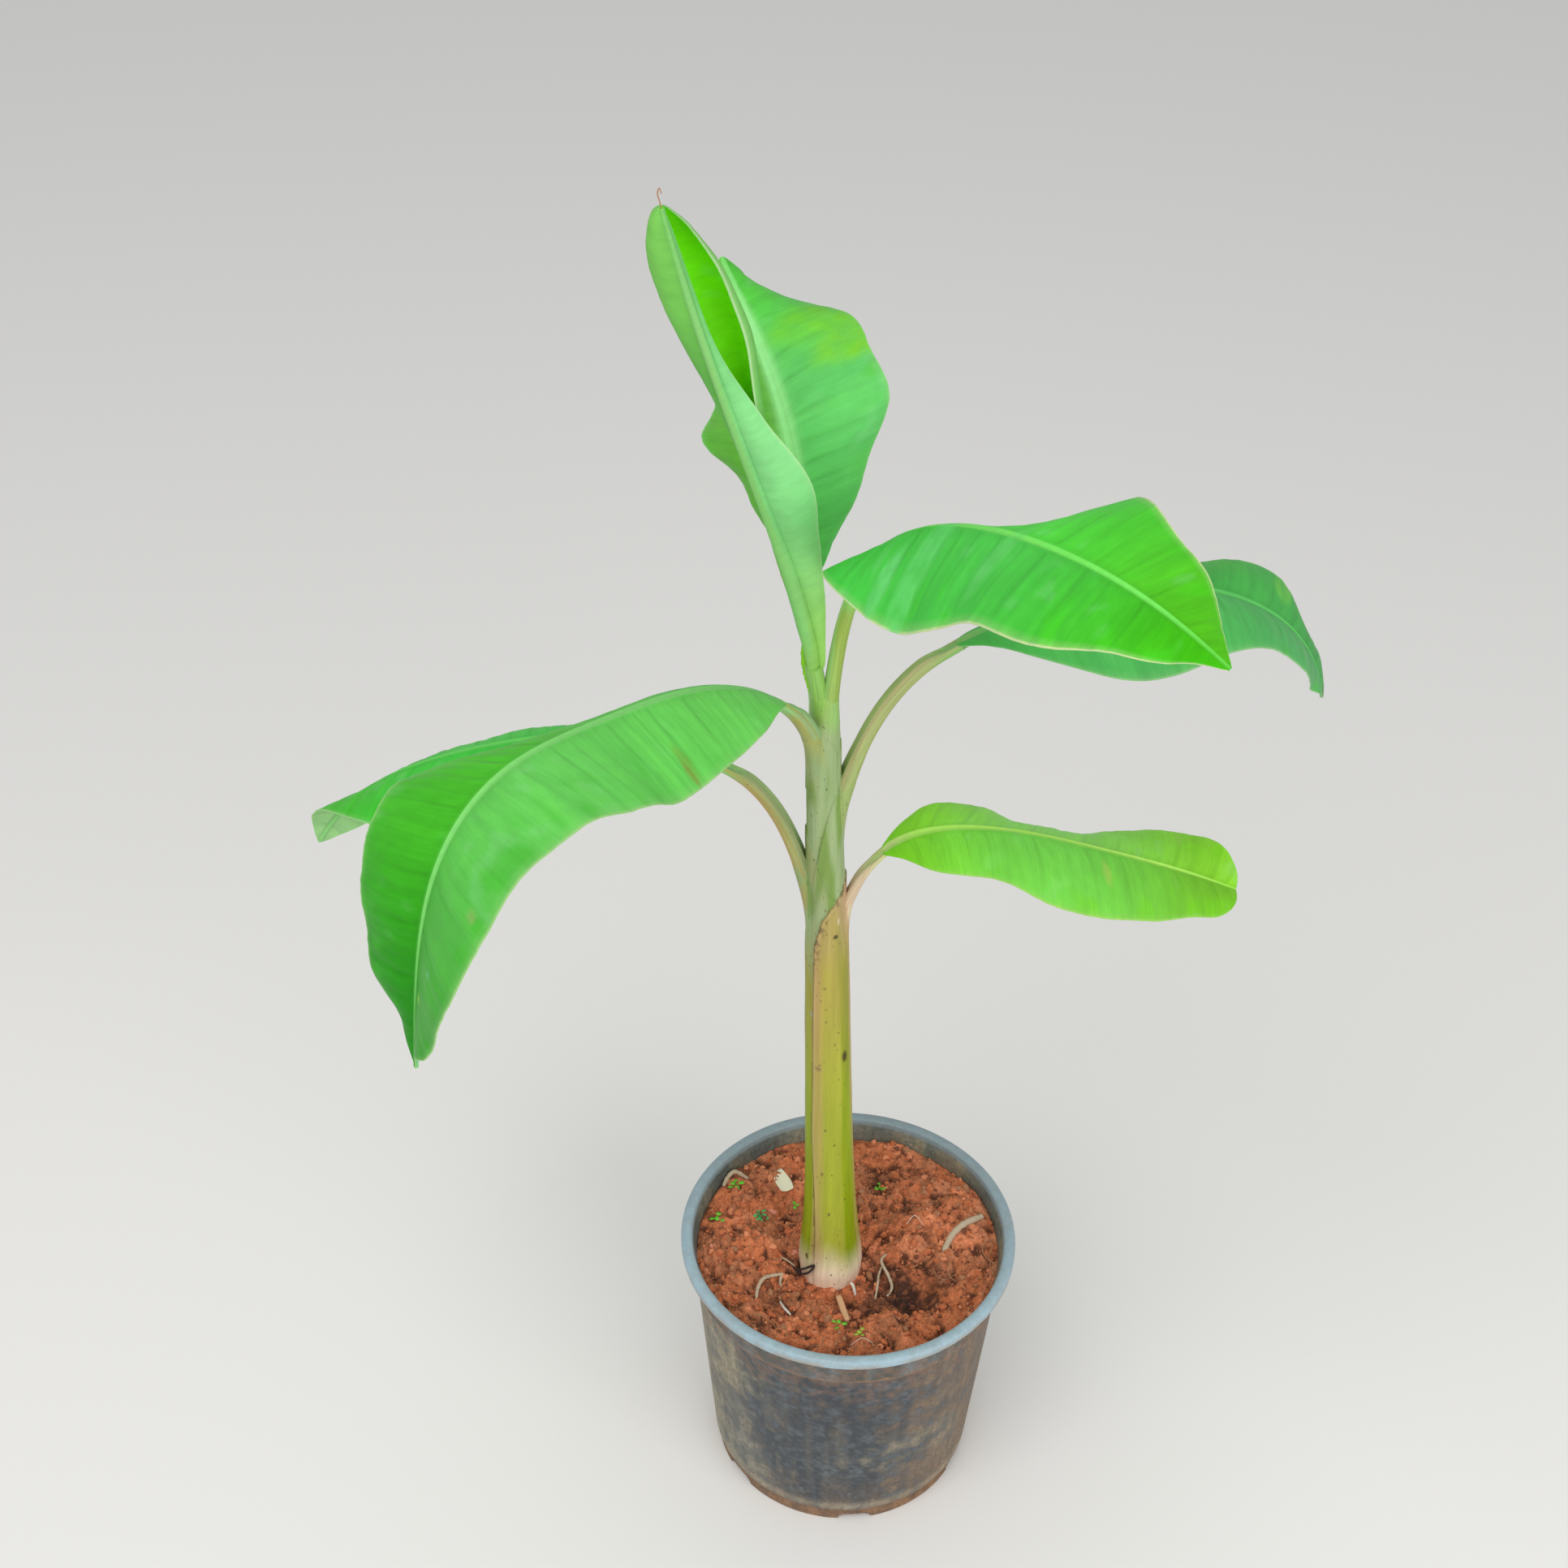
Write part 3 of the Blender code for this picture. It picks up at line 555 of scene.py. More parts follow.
# ---- finishes ----------------------------------------------------------------------------
def make_leaf_skin():
    """Living banana leaf: waxy skin over close parallel side veins."""
    # gives the eye fine pale lines that run out from the midrib, broad soft pleats of lighter
    # and darker green, and a satin shine that is duller on the bloom-covered underside
    made, tree, shader = new_material("banana_leaf_skin", IOR=1.45, Specular_IOR_Level=0.12)
    tone = add_node(tree, "ShaderNodeAttribute", attribute_name="tone")
    parts = add_node(tree, "ShaderNodeAttribute", attribute_name="parts")
    split = add_node(tree, "ShaderNodeSeparateColor", links={"Color": parts.outputs["Color"]})
    place = add_node(tree, "ShaderNodeUVMap", uv_map="vein")
    # pleats 10 mm apart and drawn out to 90 mm; side veins, 0.8 mm apart and drawn at 1.7 mm so
    # that they show; flecks of 5 by 14 mm: scale, detail, roughness and how far each lightens
    patterns = (
        ((11, 95, 1), 2, 0.5, 0.036), ((14, 590, 1), 1, 0.4, 0.028), ((70, 200, 1), 3, 0.6, 0.04),
    )
    noises, lights = [], []
    for scale, detail, roughness, change in patterns:
        scaled = add_node(
            tree, "ShaderNodeMapping", {"Scale": scale}, {"Vector": place.outputs["UV"]}
        )
        pattern = add_node(
            tree, "ShaderNodeTexNoise", {"Scale": 1, "Detail": detail, "Roughness": roughness},
            {"Vector": scaled.outputs["Vector"]}, noise_dimensions="2D",
        )
        light = add_node(
            tree, "ShaderNodeMapRange", {**NOISE_SPAN, "To Min": -change, "To Max": change},
            {"Value": pattern.outputs["Fac"]},
        )
        noises.append(pattern.outputs["Fac"])
        lights.append(light.outputs["Result"])
    pleats, veins, _ = noises
    pleat_light, vein_light, fleck_light = lights
    lines = add_node(tree, "ShaderNodeMath", links={0: pleat_light, 1: vein_light}, operation="ADD")
    off_rib = add_node(
        tree, "ShaderNodeMath", {0: 1.0}, {1: split.outputs["Red"]}, operation="SUBTRACT"
    )
    kept = add_node(
        tree, "ShaderNodeMath", operation="MULTIPLY",
        links={0: lines.outputs["Value"], 1: off_rib.outputs["Value"]},
    )
    all_light = add_node(
        tree, "ShaderNodeMath", operation="ADD", links={0: kept.outputs["Value"], 1: fleck_light}
    )
    factor = add_node(
        tree, "ShaderNodeMath", {1: 1.0}, {0: all_light.outputs["Value"]}, operation="ADD"
    )
    lit = add_node(
        tree, "ShaderNodeVectorMath", operation="SCALE",
        links={"Vector": tone.outputs["Color"], "Scale": factor.outputs["Value"]},
    )
    # the pale pleats are yellower than the green between them
    yellow = add_node(
        tree, "ShaderNodeMapRange",
        {"From Min": 0.45, "From Max": 0.75, "To Min": 0.0, "To Max": 0.16}, {"Value": pleats},
    )
    yellow_kept = add_node(
        tree, "ShaderNodeMath", operation="MULTIPLY",
        links={0: yellow.outputs["Result"], 1: off_rib.outputs["Value"]},
    )
    warm = add_node(
        tree, "ShaderNodeMix", {MIX_B: (1.22, 1.05, 0.78, 1)},
        {"Factor": yellow_kept.outputs["Value"], MIX_A: lit.outputs["Vector"]},
        data_type="RGBA", blend_type="MULTIPLY",
    )
    tree.links.new(warm.outputs[MIX_OUT], shader.inputs["Base Color"])
    gloss = add_node(
        tree, "ShaderNodeMapRange", {"To Min": 0.43, "To Max": 0.6},
        {"Value": split.outputs["Blue"]},
    )
    uneven = add_node(
        tree, "ShaderNodeMath", operation="ADD", links={0: gloss.outputs["Result"], 1: fleck_light}
    )
    tree.links.new(uneven.outputs["Value"], shader.inputs["Roughness"])
    height = add_node(
        tree, "ShaderNodeMath", operation="MULTIPLY", links={0: veins, 1: off_rib.outputs["Value"]}
    )
    bump = add_node(
        tree, "ShaderNodeBump", {"Strength": 0.2, "Distance": 0.0005},
        {"Height": height.outputs["Value"]},
    )
    tree.links.new(bump.outputs["Normal"], shader.inputs["Normal"])
    return made


def make_stalk_skin():
    """Leaf stalk: smooth juicy skin with fine lengthwise fibres."""
    # gives the eye soft streaks along the stalk, small dark specks and a waxy shine
    made, tree, shader = new_material("banana_stalk_skin", IOR=1.45, Specular_IOR_Level=0.3)
    tone = add_node(tree, "ShaderNodeAttribute", attribute_name="tone")
    ring = add_node(tree, "ShaderNodeUVMap", uv_map="ring")
    run = add_node(tree, "ShaderNodeUVMap", uv_map="run")
    ring_parts = add_node(tree, "ShaderNodeSeparateXYZ", links={"Vector": ring.outputs["UV"]})
    run_parts = add_node(tree, "ShaderNodeSeparateXYZ", links={"Vector": run.outputs["UV"]})
    place = add_node(
        tree, "ShaderNodeCombineXYZ",
        links={
            "X": ring_parts.outputs["X"], "Y": ring_parts.outputs["Y"], "Z": run_parts.outputs["X"],
        },
    )
    # fibres 1.2 mm apart and 50 mm long, specks of 2 mm
    fibre_place = add_node(
        tree, "ShaderNodeMapping", {"Scale": (820, 820, 20)}, {"Vector": place.outputs["Vector"]}
    )
    fibre = add_node(
        tree, "ShaderNodeTexNoise", {"Scale": 1, "Detail": 2, "Roughness": 0.55},
        {"Vector": fibre_place.outputs["Vector"]},
    )
    speck = add_node(
        tree, "ShaderNodeTexNoise", {"Scale": 480, "Detail": 1, "Roughness": 0.5},
        {"Vector": place.outputs["Vector"]},
    )
    light = add_node(
        tree, "ShaderNodeMapRange",
        {**NOISE_SPAN, "To Min": 0.84, "To Max": 1.14},
        {"Value": fibre.outputs["Fac"]},
    )
    streaked = add_node(
        tree, "ShaderNodeVectorMath", operation="SCALE",
        links={"Vector": tone.outputs["Color"], "Scale": light.outputs["Result"]},
    )
    dots = add_node(
        tree, "ShaderNodeMapRange",
        {"From Min": 0.74, "From Max": 0.8, "To Min": 0.0, "To Max": 0.7},
        {"Value": speck.outputs["Fac"]},
    )
    specked = add_node(
        tree, "ShaderNodeMix", {MIX_B: (*linear("#5b4a2c"), 1)},
        {"Factor": dots.outputs["Result"], MIX_A: streaked.outputs["Vector"]}, data_type="RGBA",
    )
    tree.links.new(specked.outputs[MIX_OUT], shader.inputs["Base Color"])
    gloss = add_node(
        tree, "ShaderNodeMapRange",
        {**NOISE_SPAN, "To Min": 0.36, "To Max": 0.5},
        {"Value": fibre.outputs["Fac"]},
    )
    tree.links.new(gloss.outputs["Result"], shader.inputs["Roughness"])
    bump = add_node(
        tree, "ShaderNodeBump", {"Strength": 0.3, "Distance": 0.0005},
        {"Height": fibre.outputs["Fac"]},
    )
    tree.links.new(bump.outputs["Normal"], shader.inputs["Normal"])
    return made


def make_stem_skin():
    """Pseudostem: overlapping leaf sheaths, smooth and waxy with fine upright fibres."""
    # gives the eye upright streaks of olive, beige and green, dark flecks, and a soft shine
    made, tree, shader = new_material("banana_sheath_skin", IOR=1.45, Specular_IOR_Level=0.2)
    tone = add_node(tree, "ShaderNodeAttribute", attribute_name="tone")
    place = add_node(tree, "ShaderNodeTexCoord")
    # fibres 1 mm apart, streaks 5 mm apart and 100 mm long, flecks of 2 by 4 mm: scale, detail
    # and roughness of each
    patterns = (((950, 950, 16), 2, 0.5), ((200, 200, 10), 3, 0.6), ((520, 520, 260), 1, 0.4))
    noises = []
    for scale, detail, roughness in patterns:
        scaled = add_node(
            tree, "ShaderNodeMapping", {"Scale": scale}, {"Vector": place.outputs["Object"]}
        )
        pattern = add_node(
            tree, "ShaderNodeTexNoise", {"Scale": 1, "Detail": detail, "Roughness": roughness},
            {"Vector": scaled.outputs["Vector"]},
        )
        noises.append(pattern.outputs["Fac"])
    fibre, streak, fleck = noises
    fibre_light = add_node(
        tree, "ShaderNodeMapRange", {**NOISE_SPAN, "To Min": 0.95, "To Max": 1.05}, {"Value": fibre}
    )
    streak_light = add_node(
        tree, "ShaderNodeMapRange",
        {**NOISE_SPAN, "To Min": 0.92, "To Max": 1.08},
        {"Value": streak},
    )
    light = add_node(
        tree, "ShaderNodeMath", operation="MULTIPLY",
        links={0: fibre_light.outputs["Result"], 1: streak_light.outputs["Result"]},
    )
    streaked = add_node(
        tree, "ShaderNodeVectorMath", operation="SCALE",
        links={"Vector": tone.outputs["Color"], "Scale": light.outputs["Value"]},
    )
    dots = add_node(
        tree, "ShaderNodeMapRange",
        {"From Min": 0.72, "From Max": 0.78, "To Min": 0.0, "To Max": 0.75},
        {"Value": fleck},
    )
    specked = add_node(
        tree, "ShaderNodeMix", {MIX_B: (*linear("#4d4130"), 1)},
        {"Factor": dots.outputs["Result"], MIX_A: streaked.outputs["Vector"]}, data_type="RGBA",
    )
    tree.links.new(specked.outputs[MIX_OUT], shader.inputs["Base Color"])
    gloss = add_node(
        tree, "ShaderNodeMapRange",
        {**NOISE_SPAN, "To Min": 0.38, "To Max": 0.52},
        {"Value": streak},
    )
    tree.links.new(gloss.outputs["Result"], shader.inputs["Roughness"])
    bump = add_node(
        tree, "ShaderNodeBump", {"Strength": 0.2, "Distance": 0.0005}, {"Height": fibre}
    )
    tree.links.new(bump.outputs["Normal"], shader.inputs["Normal"])
    return made


def make_pot_plastic():
    """Moulded polypropylene nursery pot, scuffed and dusty."""
    # gives the eye near-black plastic with a dull shine under patches of dried mud, chalky
    # water marks and fine scratches
    made, tree, shader = new_material("black_polypropylene", IOR=1.49)
    tone = add_node(tree, "ShaderNodeAttribute", attribute_name="tone")
    parts = add_node(tree, "ShaderNodeAttribute", attribute_name="parts")
    split = add_node(tree, "ShaderNodeSeparateColor", links={"Color": parts.outputs["Color"]})
    place = add_node(tree, "ShaderNodeTexCoord")
    # speckles of 3 mm with finer grit in them, drawn as coarse as they need to show, and
    # smears 6 mm wide and 45 mm long down the wall
    speckle = add_node(
        tree, "ShaderNodeTexNoise", {"Scale": 300, "Detail": 4, "Roughness": 0.65},
        {"Vector": place.outputs["Object"]},
    )
    smear_place = add_node(
        tree, "ShaderNodeMapping", {"Scale": (170, 170, 22)}, {"Vector": place.outputs["Object"]}
    )
    smear = add_node(
        tree, "ShaderNodeTexNoise", {"Scale": 1, "Detail": 3, "Roughness": 0.6},
        {"Vector": smear_place.outputs["Vector"]},
    )
    light = add_node(
        tree, "ShaderNodeMapRange",
        {**NOISE_SPAN, "To Min": 0.68, "To Max": 1.34},
        {"Value": speckle.outputs["Fac"]},
    )
    smear_light = add_node(
        tree, "ShaderNodeMapRange",
        {**NOISE_SPAN, "To Min": 0.86, "To Max": 1.16},
        {"Value": smear.outputs["Fac"]},
    )
    both = add_node(
        tree, "ShaderNodeMath", operation="MULTIPLY",
        links={0: light.outputs["Result"], 1: smear_light.outputs["Result"]},
    )
    change = add_node(
        tree, "ShaderNodeMath", {1: 1.0}, {0: both.outputs["Value"]}, operation="SUBTRACT"
    )
    # the lip is worn smooth and shows few speckles
    speckled = add_node(
        tree, "ShaderNodeMath", {2: 1.0},
        {0: change.outputs["Value"], 1: split.outputs["Green"]}, operation="MULTIPLY_ADD",
    )
    mottled = add_node(
        tree, "ShaderNodeVectorMath", operation="SCALE",
        links={"Vector": tone.outputs["Color"], "Scale": speckled.outputs["Value"]},
    )
    tree.links.new(mottled.outputs["Vector"], shader.inputs["Base Color"])
    dull = add_node(
        tree, "ShaderNodeMapRange", {"To Min": 0.4, "To Max": 0.8}, {"Value": split.outputs["Red"]}
    )
    grit = add_node(
        tree, "ShaderNodeMapRange",
        {**NOISE_SPAN, "To Min": -0.08, "To Max": 0.08},
        {"Value": speckle.outputs["Fac"]},
    )
    rough = add_node(
        tree, "ShaderNodeMath", operation="ADD",
        links={0: dull.outputs["Result"], 1: grit.outputs["Result"]},
    )
    tree.links.new(rough.outputs["Value"], shader.inputs["Roughness"])
    bump = add_node(
        tree, "ShaderNodeBump", {"Strength": 0.25, "Distance": 0.0005},
        {"Height": speckle.outputs["Fac"]},
    )
    tree.links.new(bump.outputs["Normal"], shader.inputs["Normal"])
    return made


def make_red_soil():
    """Laterite soil: dry red clay crumbs."""
    # gives the eye a dull, grainy surface from orange dust to dark moist red, over tones that also
    # carry a painted pool of light and painted shade in the hollows
    made, tree, shader = new_material("laterite_soil", Roughness=0.95, IOR=1.4)
    tone = add_node(tree, "ShaderNodeAttribute", attribute_name="tone")
    place = add_node(tree, "ShaderNodeTexCoord")
    # grains of 2 mm and patches of 7 mm: scale, detail, roughness and how far each lightens
    noises, lights = [], []
    for scale, detail, roughness, change in ((520, 4, 0.7, 0.24), (150, 3, 0.6, 0.22)):
        pattern = add_node(
            tree, "ShaderNodeTexNoise",
            {"Scale": scale, "Detail": detail, "Roughness": roughness},
            {"Vector": place.outputs["Object"]},
        )
        light = add_node(
            tree, "ShaderNodeMapRange",
            {**NOISE_SPAN, "To Min": 1 - change, "To Max": 1 + change},
            {"Value": pattern.outputs["Fac"]},
        )
        noises.append(pattern.outputs["Fac"])
        lights.append(light.outputs["Result"])
    both = add_node(
        tree, "ShaderNodeMath", operation="MULTIPLY", links={0: lights[0], 1: lights[1]}
    )
    mottled = add_node(
        tree, "ShaderNodeVectorMath", operation="SCALE",
        links={"Vector": tone.outputs["Color"], "Scale": both.outputs["Value"]},
    )
    tree.links.new(mottled.outputs["Vector"], shader.inputs["Base Color"])
    bump = add_node(
        tree, "ShaderNodeBump", {"Strength": 0.8, "Distance": 0.0012}, {"Height": noises[0]}
    )
    tree.links.new(bump.outputs["Normal"], shader.inputs["Normal"])
    return made


def make_plain(name, code, roughness):
    """Small loose stuff that is one colour all over, such as a crumb, a root or a seedling."""
    # gives the eye a dull dab of colour, because each is too small to show a grain
    made, _, _ = new_material(
        name, Base_Color=(*linear(code), 1), Roughness=roughness, IOR=1.45
    )
    return made


def make_floor_paint(settings):
    """Smooth matt floor paint."""
    # gives the eye an even pale ground with no pattern of its own
    made, _, _ = new_material(
        "matt_floor_paint", Base_Color=(*settings.floor, 1), Roughness=0.85, IOR=1.45
    )
    return made


# ---- leaf blades -------------------------------------------------------------------------
def blade_rows(leaf, settings):
    """Shares along a blade: even rows, closer together at its base and tip."""
    count = max(20, int(leaf["blade"] / settings.station_step))
    even = np.linspace(CLOSE_END, 1 - CLOSE_END, count)
    near = np.linspace(0, 1, 9)[:-1] ** 2 * CLOSE_END
    return np.concatenate([near, even, 1 - near[::-1]])


def blade_columns(settings):
    """Shares across half a blade, from the midrib to the margin, closer at the margin."""
    return np.concatenate([
        (0.012, 0.03), np.linspace(0.06, 0.94, settings.columns - 5), (0.972, 0.99, 1.0),
    ])


def vein_foot(along, away):
    """Where along the blade the side vein starts that passes so far from the midrib's middle."""
    return along - VEIN_BACK * (1 - np.exp(-away / VEIN_BEND))


class HalfBlade:
    """One side of a blade as rows along it and columns from the midrib's middle outwards."""

    def __init__(self, rail, rows, columns, sign, settings):
        leaf = rail.leaf
        widths = leaf["left"] if sign > 0 else leaf["right"]
        fold = leaf["fold_left"] if sign > 0 else leaf["fold_right"]
        distance = leaf["stalk"] + rows * leaf["blade"]
        point, along, left, up = rail.at(distance)
        rib = rail.radius(distance)
        rest = np.clip((rows - ROUND_FROM) / (1 - ROUND_FROM), 0, 1)
        bend, reach = leaf.get("point", (2, 0.5))
        full = smooth(widths, rows) * (1 - rest**bend) ** reach * MM
        growth = np.sqrt(1 - (1 - np.clip(rows / WIDE_FROM, 0, 1)) ** 2)
        width = np.maximum(rib + (full - rib) * growth, TIP_WIDTH * 0.7)
        ease = np.minimum(1, width / (leaf.get("easy", EASY_WIDTH / MM) * MM))
        start = np.radians(smooth(leaf["lift"], rows) + sign * smooth(leaf["roll"], rows))

        def frame_of(angle):
            cosine, sine = np.cos(angle)[:, None], np.sin(angle)[:, None]
            return sign * left * cosine + up * sine, -sign * left * sine + up * cosine

        across, raised = frame_of(start)
        shoulder = np.minimum(rib, width * SHOULDER_MOST)
        leaf_width = width - shoulder
        tops, lows, place, share = [], [], [], []
        thin = np.minimum(settings.thickness / 2, rib * 0.6)
        for out, top, low in RIB_SECTION:
            middle = point + across * (shoulder * out)[:, None]
            tops.append(middle + raised * (top * rib + thin)[:, None])
            lows.append(middle + raised * np.minimum(low * rib, top * rib - thin)[:, None])
            place.append(shoulder * out)
            share.append(np.full(len(rows), out - 1.0))
        edge = point + across * shoulder[:, None] + raised * (RIB_AS_PACKED * rib)[:, None]
        ends = np.clip(np.minimum(rows / CALM_END, (1 - rows) / CALM_END), 0, 1)
        calm = leaf.get("calm", 1.0)
        seed = leaf["name"] + str(sign)
        last = 0.0
        for column in columns:
            half_way = smooth(fold, np.full(len(rows), (last + column) / 2))
            across, _ = frame_of(start + np.radians(ease * half_way))
            edge = edge + (across + BLADE_SWEEP * along) * (leaf_width * (column - last))[:, None]
            turned = smooth(fold, np.full(len(rows), column))
            _, raised = frame_of(start + np.radians(ease * turned))
            away = shoulder + leaf_width * column
            veins = vein_foot(distance, away)
            pleats = 0.35 * ripple(veins - leaf["stalk"], PLEAT, seed) * step(0, 0.2, column)
            groove, ramp = groove_share(
                veins - leaf["stalk"], np.full(len(rows), column), leaf["name"] + "vein"
            )
            relief = settings.pleat_height * (pleats - groove + 1.1 * ramp)
            relief = relief + settings.wave_height * column**2 * ripple(
                distance, settings.wave_length, seed + "margin"
            )
            relief = relief * ends * calm * np.minimum(1, leaf_width / 0.02)
            half = settings.thickness + (settings.margin_thickness - settings.thickness) * column
            half = np.minimum(half / 2, thin * (1.1 - 0.1 * column))
            tops.append(edge + raised * (relief + half)[:, None])
            lows.append(edge + raised * (relief - half)[:, None])
            place.append(away)
            share.append(np.full(len(rows), column))
            last = column
        self.tops, self.lows = np.stack(tops, 1), np.stack(lows, 1)
        self.place, self.share = np.stack(place, 1) * sign, np.stack(share, 1)


def groove_share(veins, share, seed):
    """Narrow grooves between the pleats, deep at the midrib and gone at the margin, and the
    slope of each pleat from one groove to the next."""
    place = veins / PLEAT + 0.22 * ripple(veins, 0.071, seed)
    part = np.mod(place, 1.0)
    depth = np.clip(1.15 - share, 0, 1) * step(0.0, 0.05, share)
    uneven = 0.55 + 0.45 * np.sin(np.floor(place) * 2.4 + len(seed))
    ramp = (0.5 - np.mod(part - 0.5, 1.0)) * depth
    return np.exp(-(((part - 0.5) / 0.1) ** 2)) * depth * uneven, ramp


def three_tones(codes, share):
    """Colour along a blade from the hex colours at its root, middle and end."""
    root, middle, end = (linear(code) for code in codes)
    first = mix(root, middle, step(0.0, 0.42, share))
    return mix(first, end, step(0.5, 0.95, share))


def blade_tones(leaf, across, along, veins, share, rows, under):
    """Colours and finish shares over one surface of a blade."""
    tones = leaf["tones"]
    length_share = rows[:, None] + 0 * share
    seed, calm = LEAVES.index(leaf), leaf.get("calm", 1.0)
    spread = np.stack([across, along * 1.5, 0 * across], -1)
    wide = cloud(spread, 0.05, seed)
    patch = cloud(np.stack([across, along * 2.2, 0 * across], -1), 0.026, seed + 40)
    small = cloud(spread, 0.009, seed + 20)
    groove, ramp = groove_share(veins, share, leaf["name"] + "vein")
    if under:
        left = tones.get("under_left", (tones["under"],) * 3)
        right = tones.get("under_right", (tones["under"],) * 3)
    else:
        left, right = tones["left"], tones["right"]
    side = step(-0.004, 0.004, across)
    tone = mix(three_tones(right, length_share), three_tones(left, length_share), side)
    # grooves between the pleats are darkened as painted shade, and each pleat is painted lighter
    # beside one groove and darker beside the next, as light falling across its slope
    tone = tone * (1 + 0.1 * wide + 0.04 * small + calm * (0.05 * ramp - 0.14 * groove))[..., None]
    if not under:
        # vivid patches, and a pale bluish haze between them that is painted sheen
        vivid = step(0.05, 0.4, patch) * step(0.25, 0.8, share) * step(0.1, 0.6, length_share)
        tone = mix(tone, linear(tones["vivid"]), 0.45 * vivid)
        painted_sheen = step(0.22, 0.5, cloud(spread, 0.014, seed + 60)) * step(-0.1, 0.3, wide)
        tone = mix(tone, mix(tone, linear("#b9e6c4"), 0.5), 0.14 * painted_sheen)
    # midrib, a shaded strip beside it, and the pale margin
    out = leaf.get("rib_out", 0)
    rib = 1 - step(out - 0.1, out + 0.03, share)
    shade = (1 - step(0.0, 0.1, share)) * (1 - rib)
    tone = tone * (1 - 0.1 * shade)[..., None]
    begun = step(0, 0.12, length_share)
    rib_tone = mix(linear(tones["rib"]), linear(tones["stalk"]), 0.5 * (1 - begun))
    rib_tone = mix(rib_tone, linear(tones["under"]), 0.4 * under * begun)
    rib_tone = mix(rib_tone, tone, 0.55 * step(0.75, 1.0, length_share))
    tone = mix(tone, rib_tone, rib)
    tone = mix(tone, linear(tones["edge"]), 0.22 * step(0.9, 0.975, share))
    tone = mix(tone, linear(tones["edge"]), 0.85 * step(0.978, 0.992, share))
    dry = np.zeros_like(share)
    # marks: real spots, and on leaf_2 and leaf_3 also painted patches of light; all count in dry,
    # which dulls the finish
    for x, y, radius, stretch, code in leaf["marks"]:
        spot = spot_share(across - x * MM, along - y * MM, radius * MM, stretch)
        spot = spot * (0.75 + 0.5 * small)
        tone = mix(tone, linear(code), 0.8 * spot)
        dry = np.maximum(dry, spot)
    bloom = np.clip(float(under) + 0.4 * dry, 0, 1)
    return tone, np.stack([np.maximum(rib, 1 - calm), groove, bloom], -1)


def make_blade(leaf, settings, skin):
    """One leaf blade as a thin closed sheet with its midrib, pleats and waved margins."""
    rail = Rail(leaf)
    rows, columns = blade_rows(leaf, settings), blade_columns(settings)
    left = HalfBlade(rail, rows, columns, 1, settings)
    right = HalfBlade(rail, rows, columns, -1, settings)

    def joined(first, second):
        return np.concatenate([first[:, ::-1], second[:, 1:]], 1)

    tops, lows = joined(left.tops, right.tops), joined(left.lows, right.lows)
    across, share = joined(left.place, right.place), joined(left.share, right.share)
    along = rows[:, None] * leaf["blade"] + 0 * across
    veins = vein_foot(along, np.abs(across))
    count = tops.shape[1]
    total = len(rows) * count
    upper = grid_faces(len(rows), count)
    lower = grid_faces(len(rows), count, total)[:, ::-1]
    index = np.arange(total).reshape(len(rows), count)
    rims = [upper, lower]
    for line in (index[:, 0], index[::-1, -1], index[-1], index[0, ::-1]):
        rims.append(np.stack([line[:-1], line[1:], line[1:] + total, line[:-1] + total], -1))
    tone_top, parts_top = blade_tones(leaf, across, along, veins, share, rows, 0)
    tone_low, parts_low = blade_tones(leaf, across, along, veins, share, rows, 1)
    vein_map = np.stack([across, veins + LEAVES.index(leaf) * 0.83], -1).reshape(-1, 2)
    piece = new_mesh(
        leaf["name"] + "_leaf_blade",
        np.concatenate([tops.reshape(-1, 3), lows.reshape(-1, 3)]),
        np.concatenate(rims), [skin],
        maps={"vein": np.concatenate([vein_map, vein_map + 5.0])},
        tints={
            "tone": np.concatenate([tone_top.reshape(-1, 3), tone_low.reshape(-1, 3)]),
            "parts": np.concatenate([parts_top.reshape(-1, 3), parts_low.reshape(-1, 3)]),
        },
        sharp=60,
    )
    nodes = [leaf["name"] + "_" + node for node in leaf["nodes"]]
    return settle(piece, "leaf_blade", *nodes)


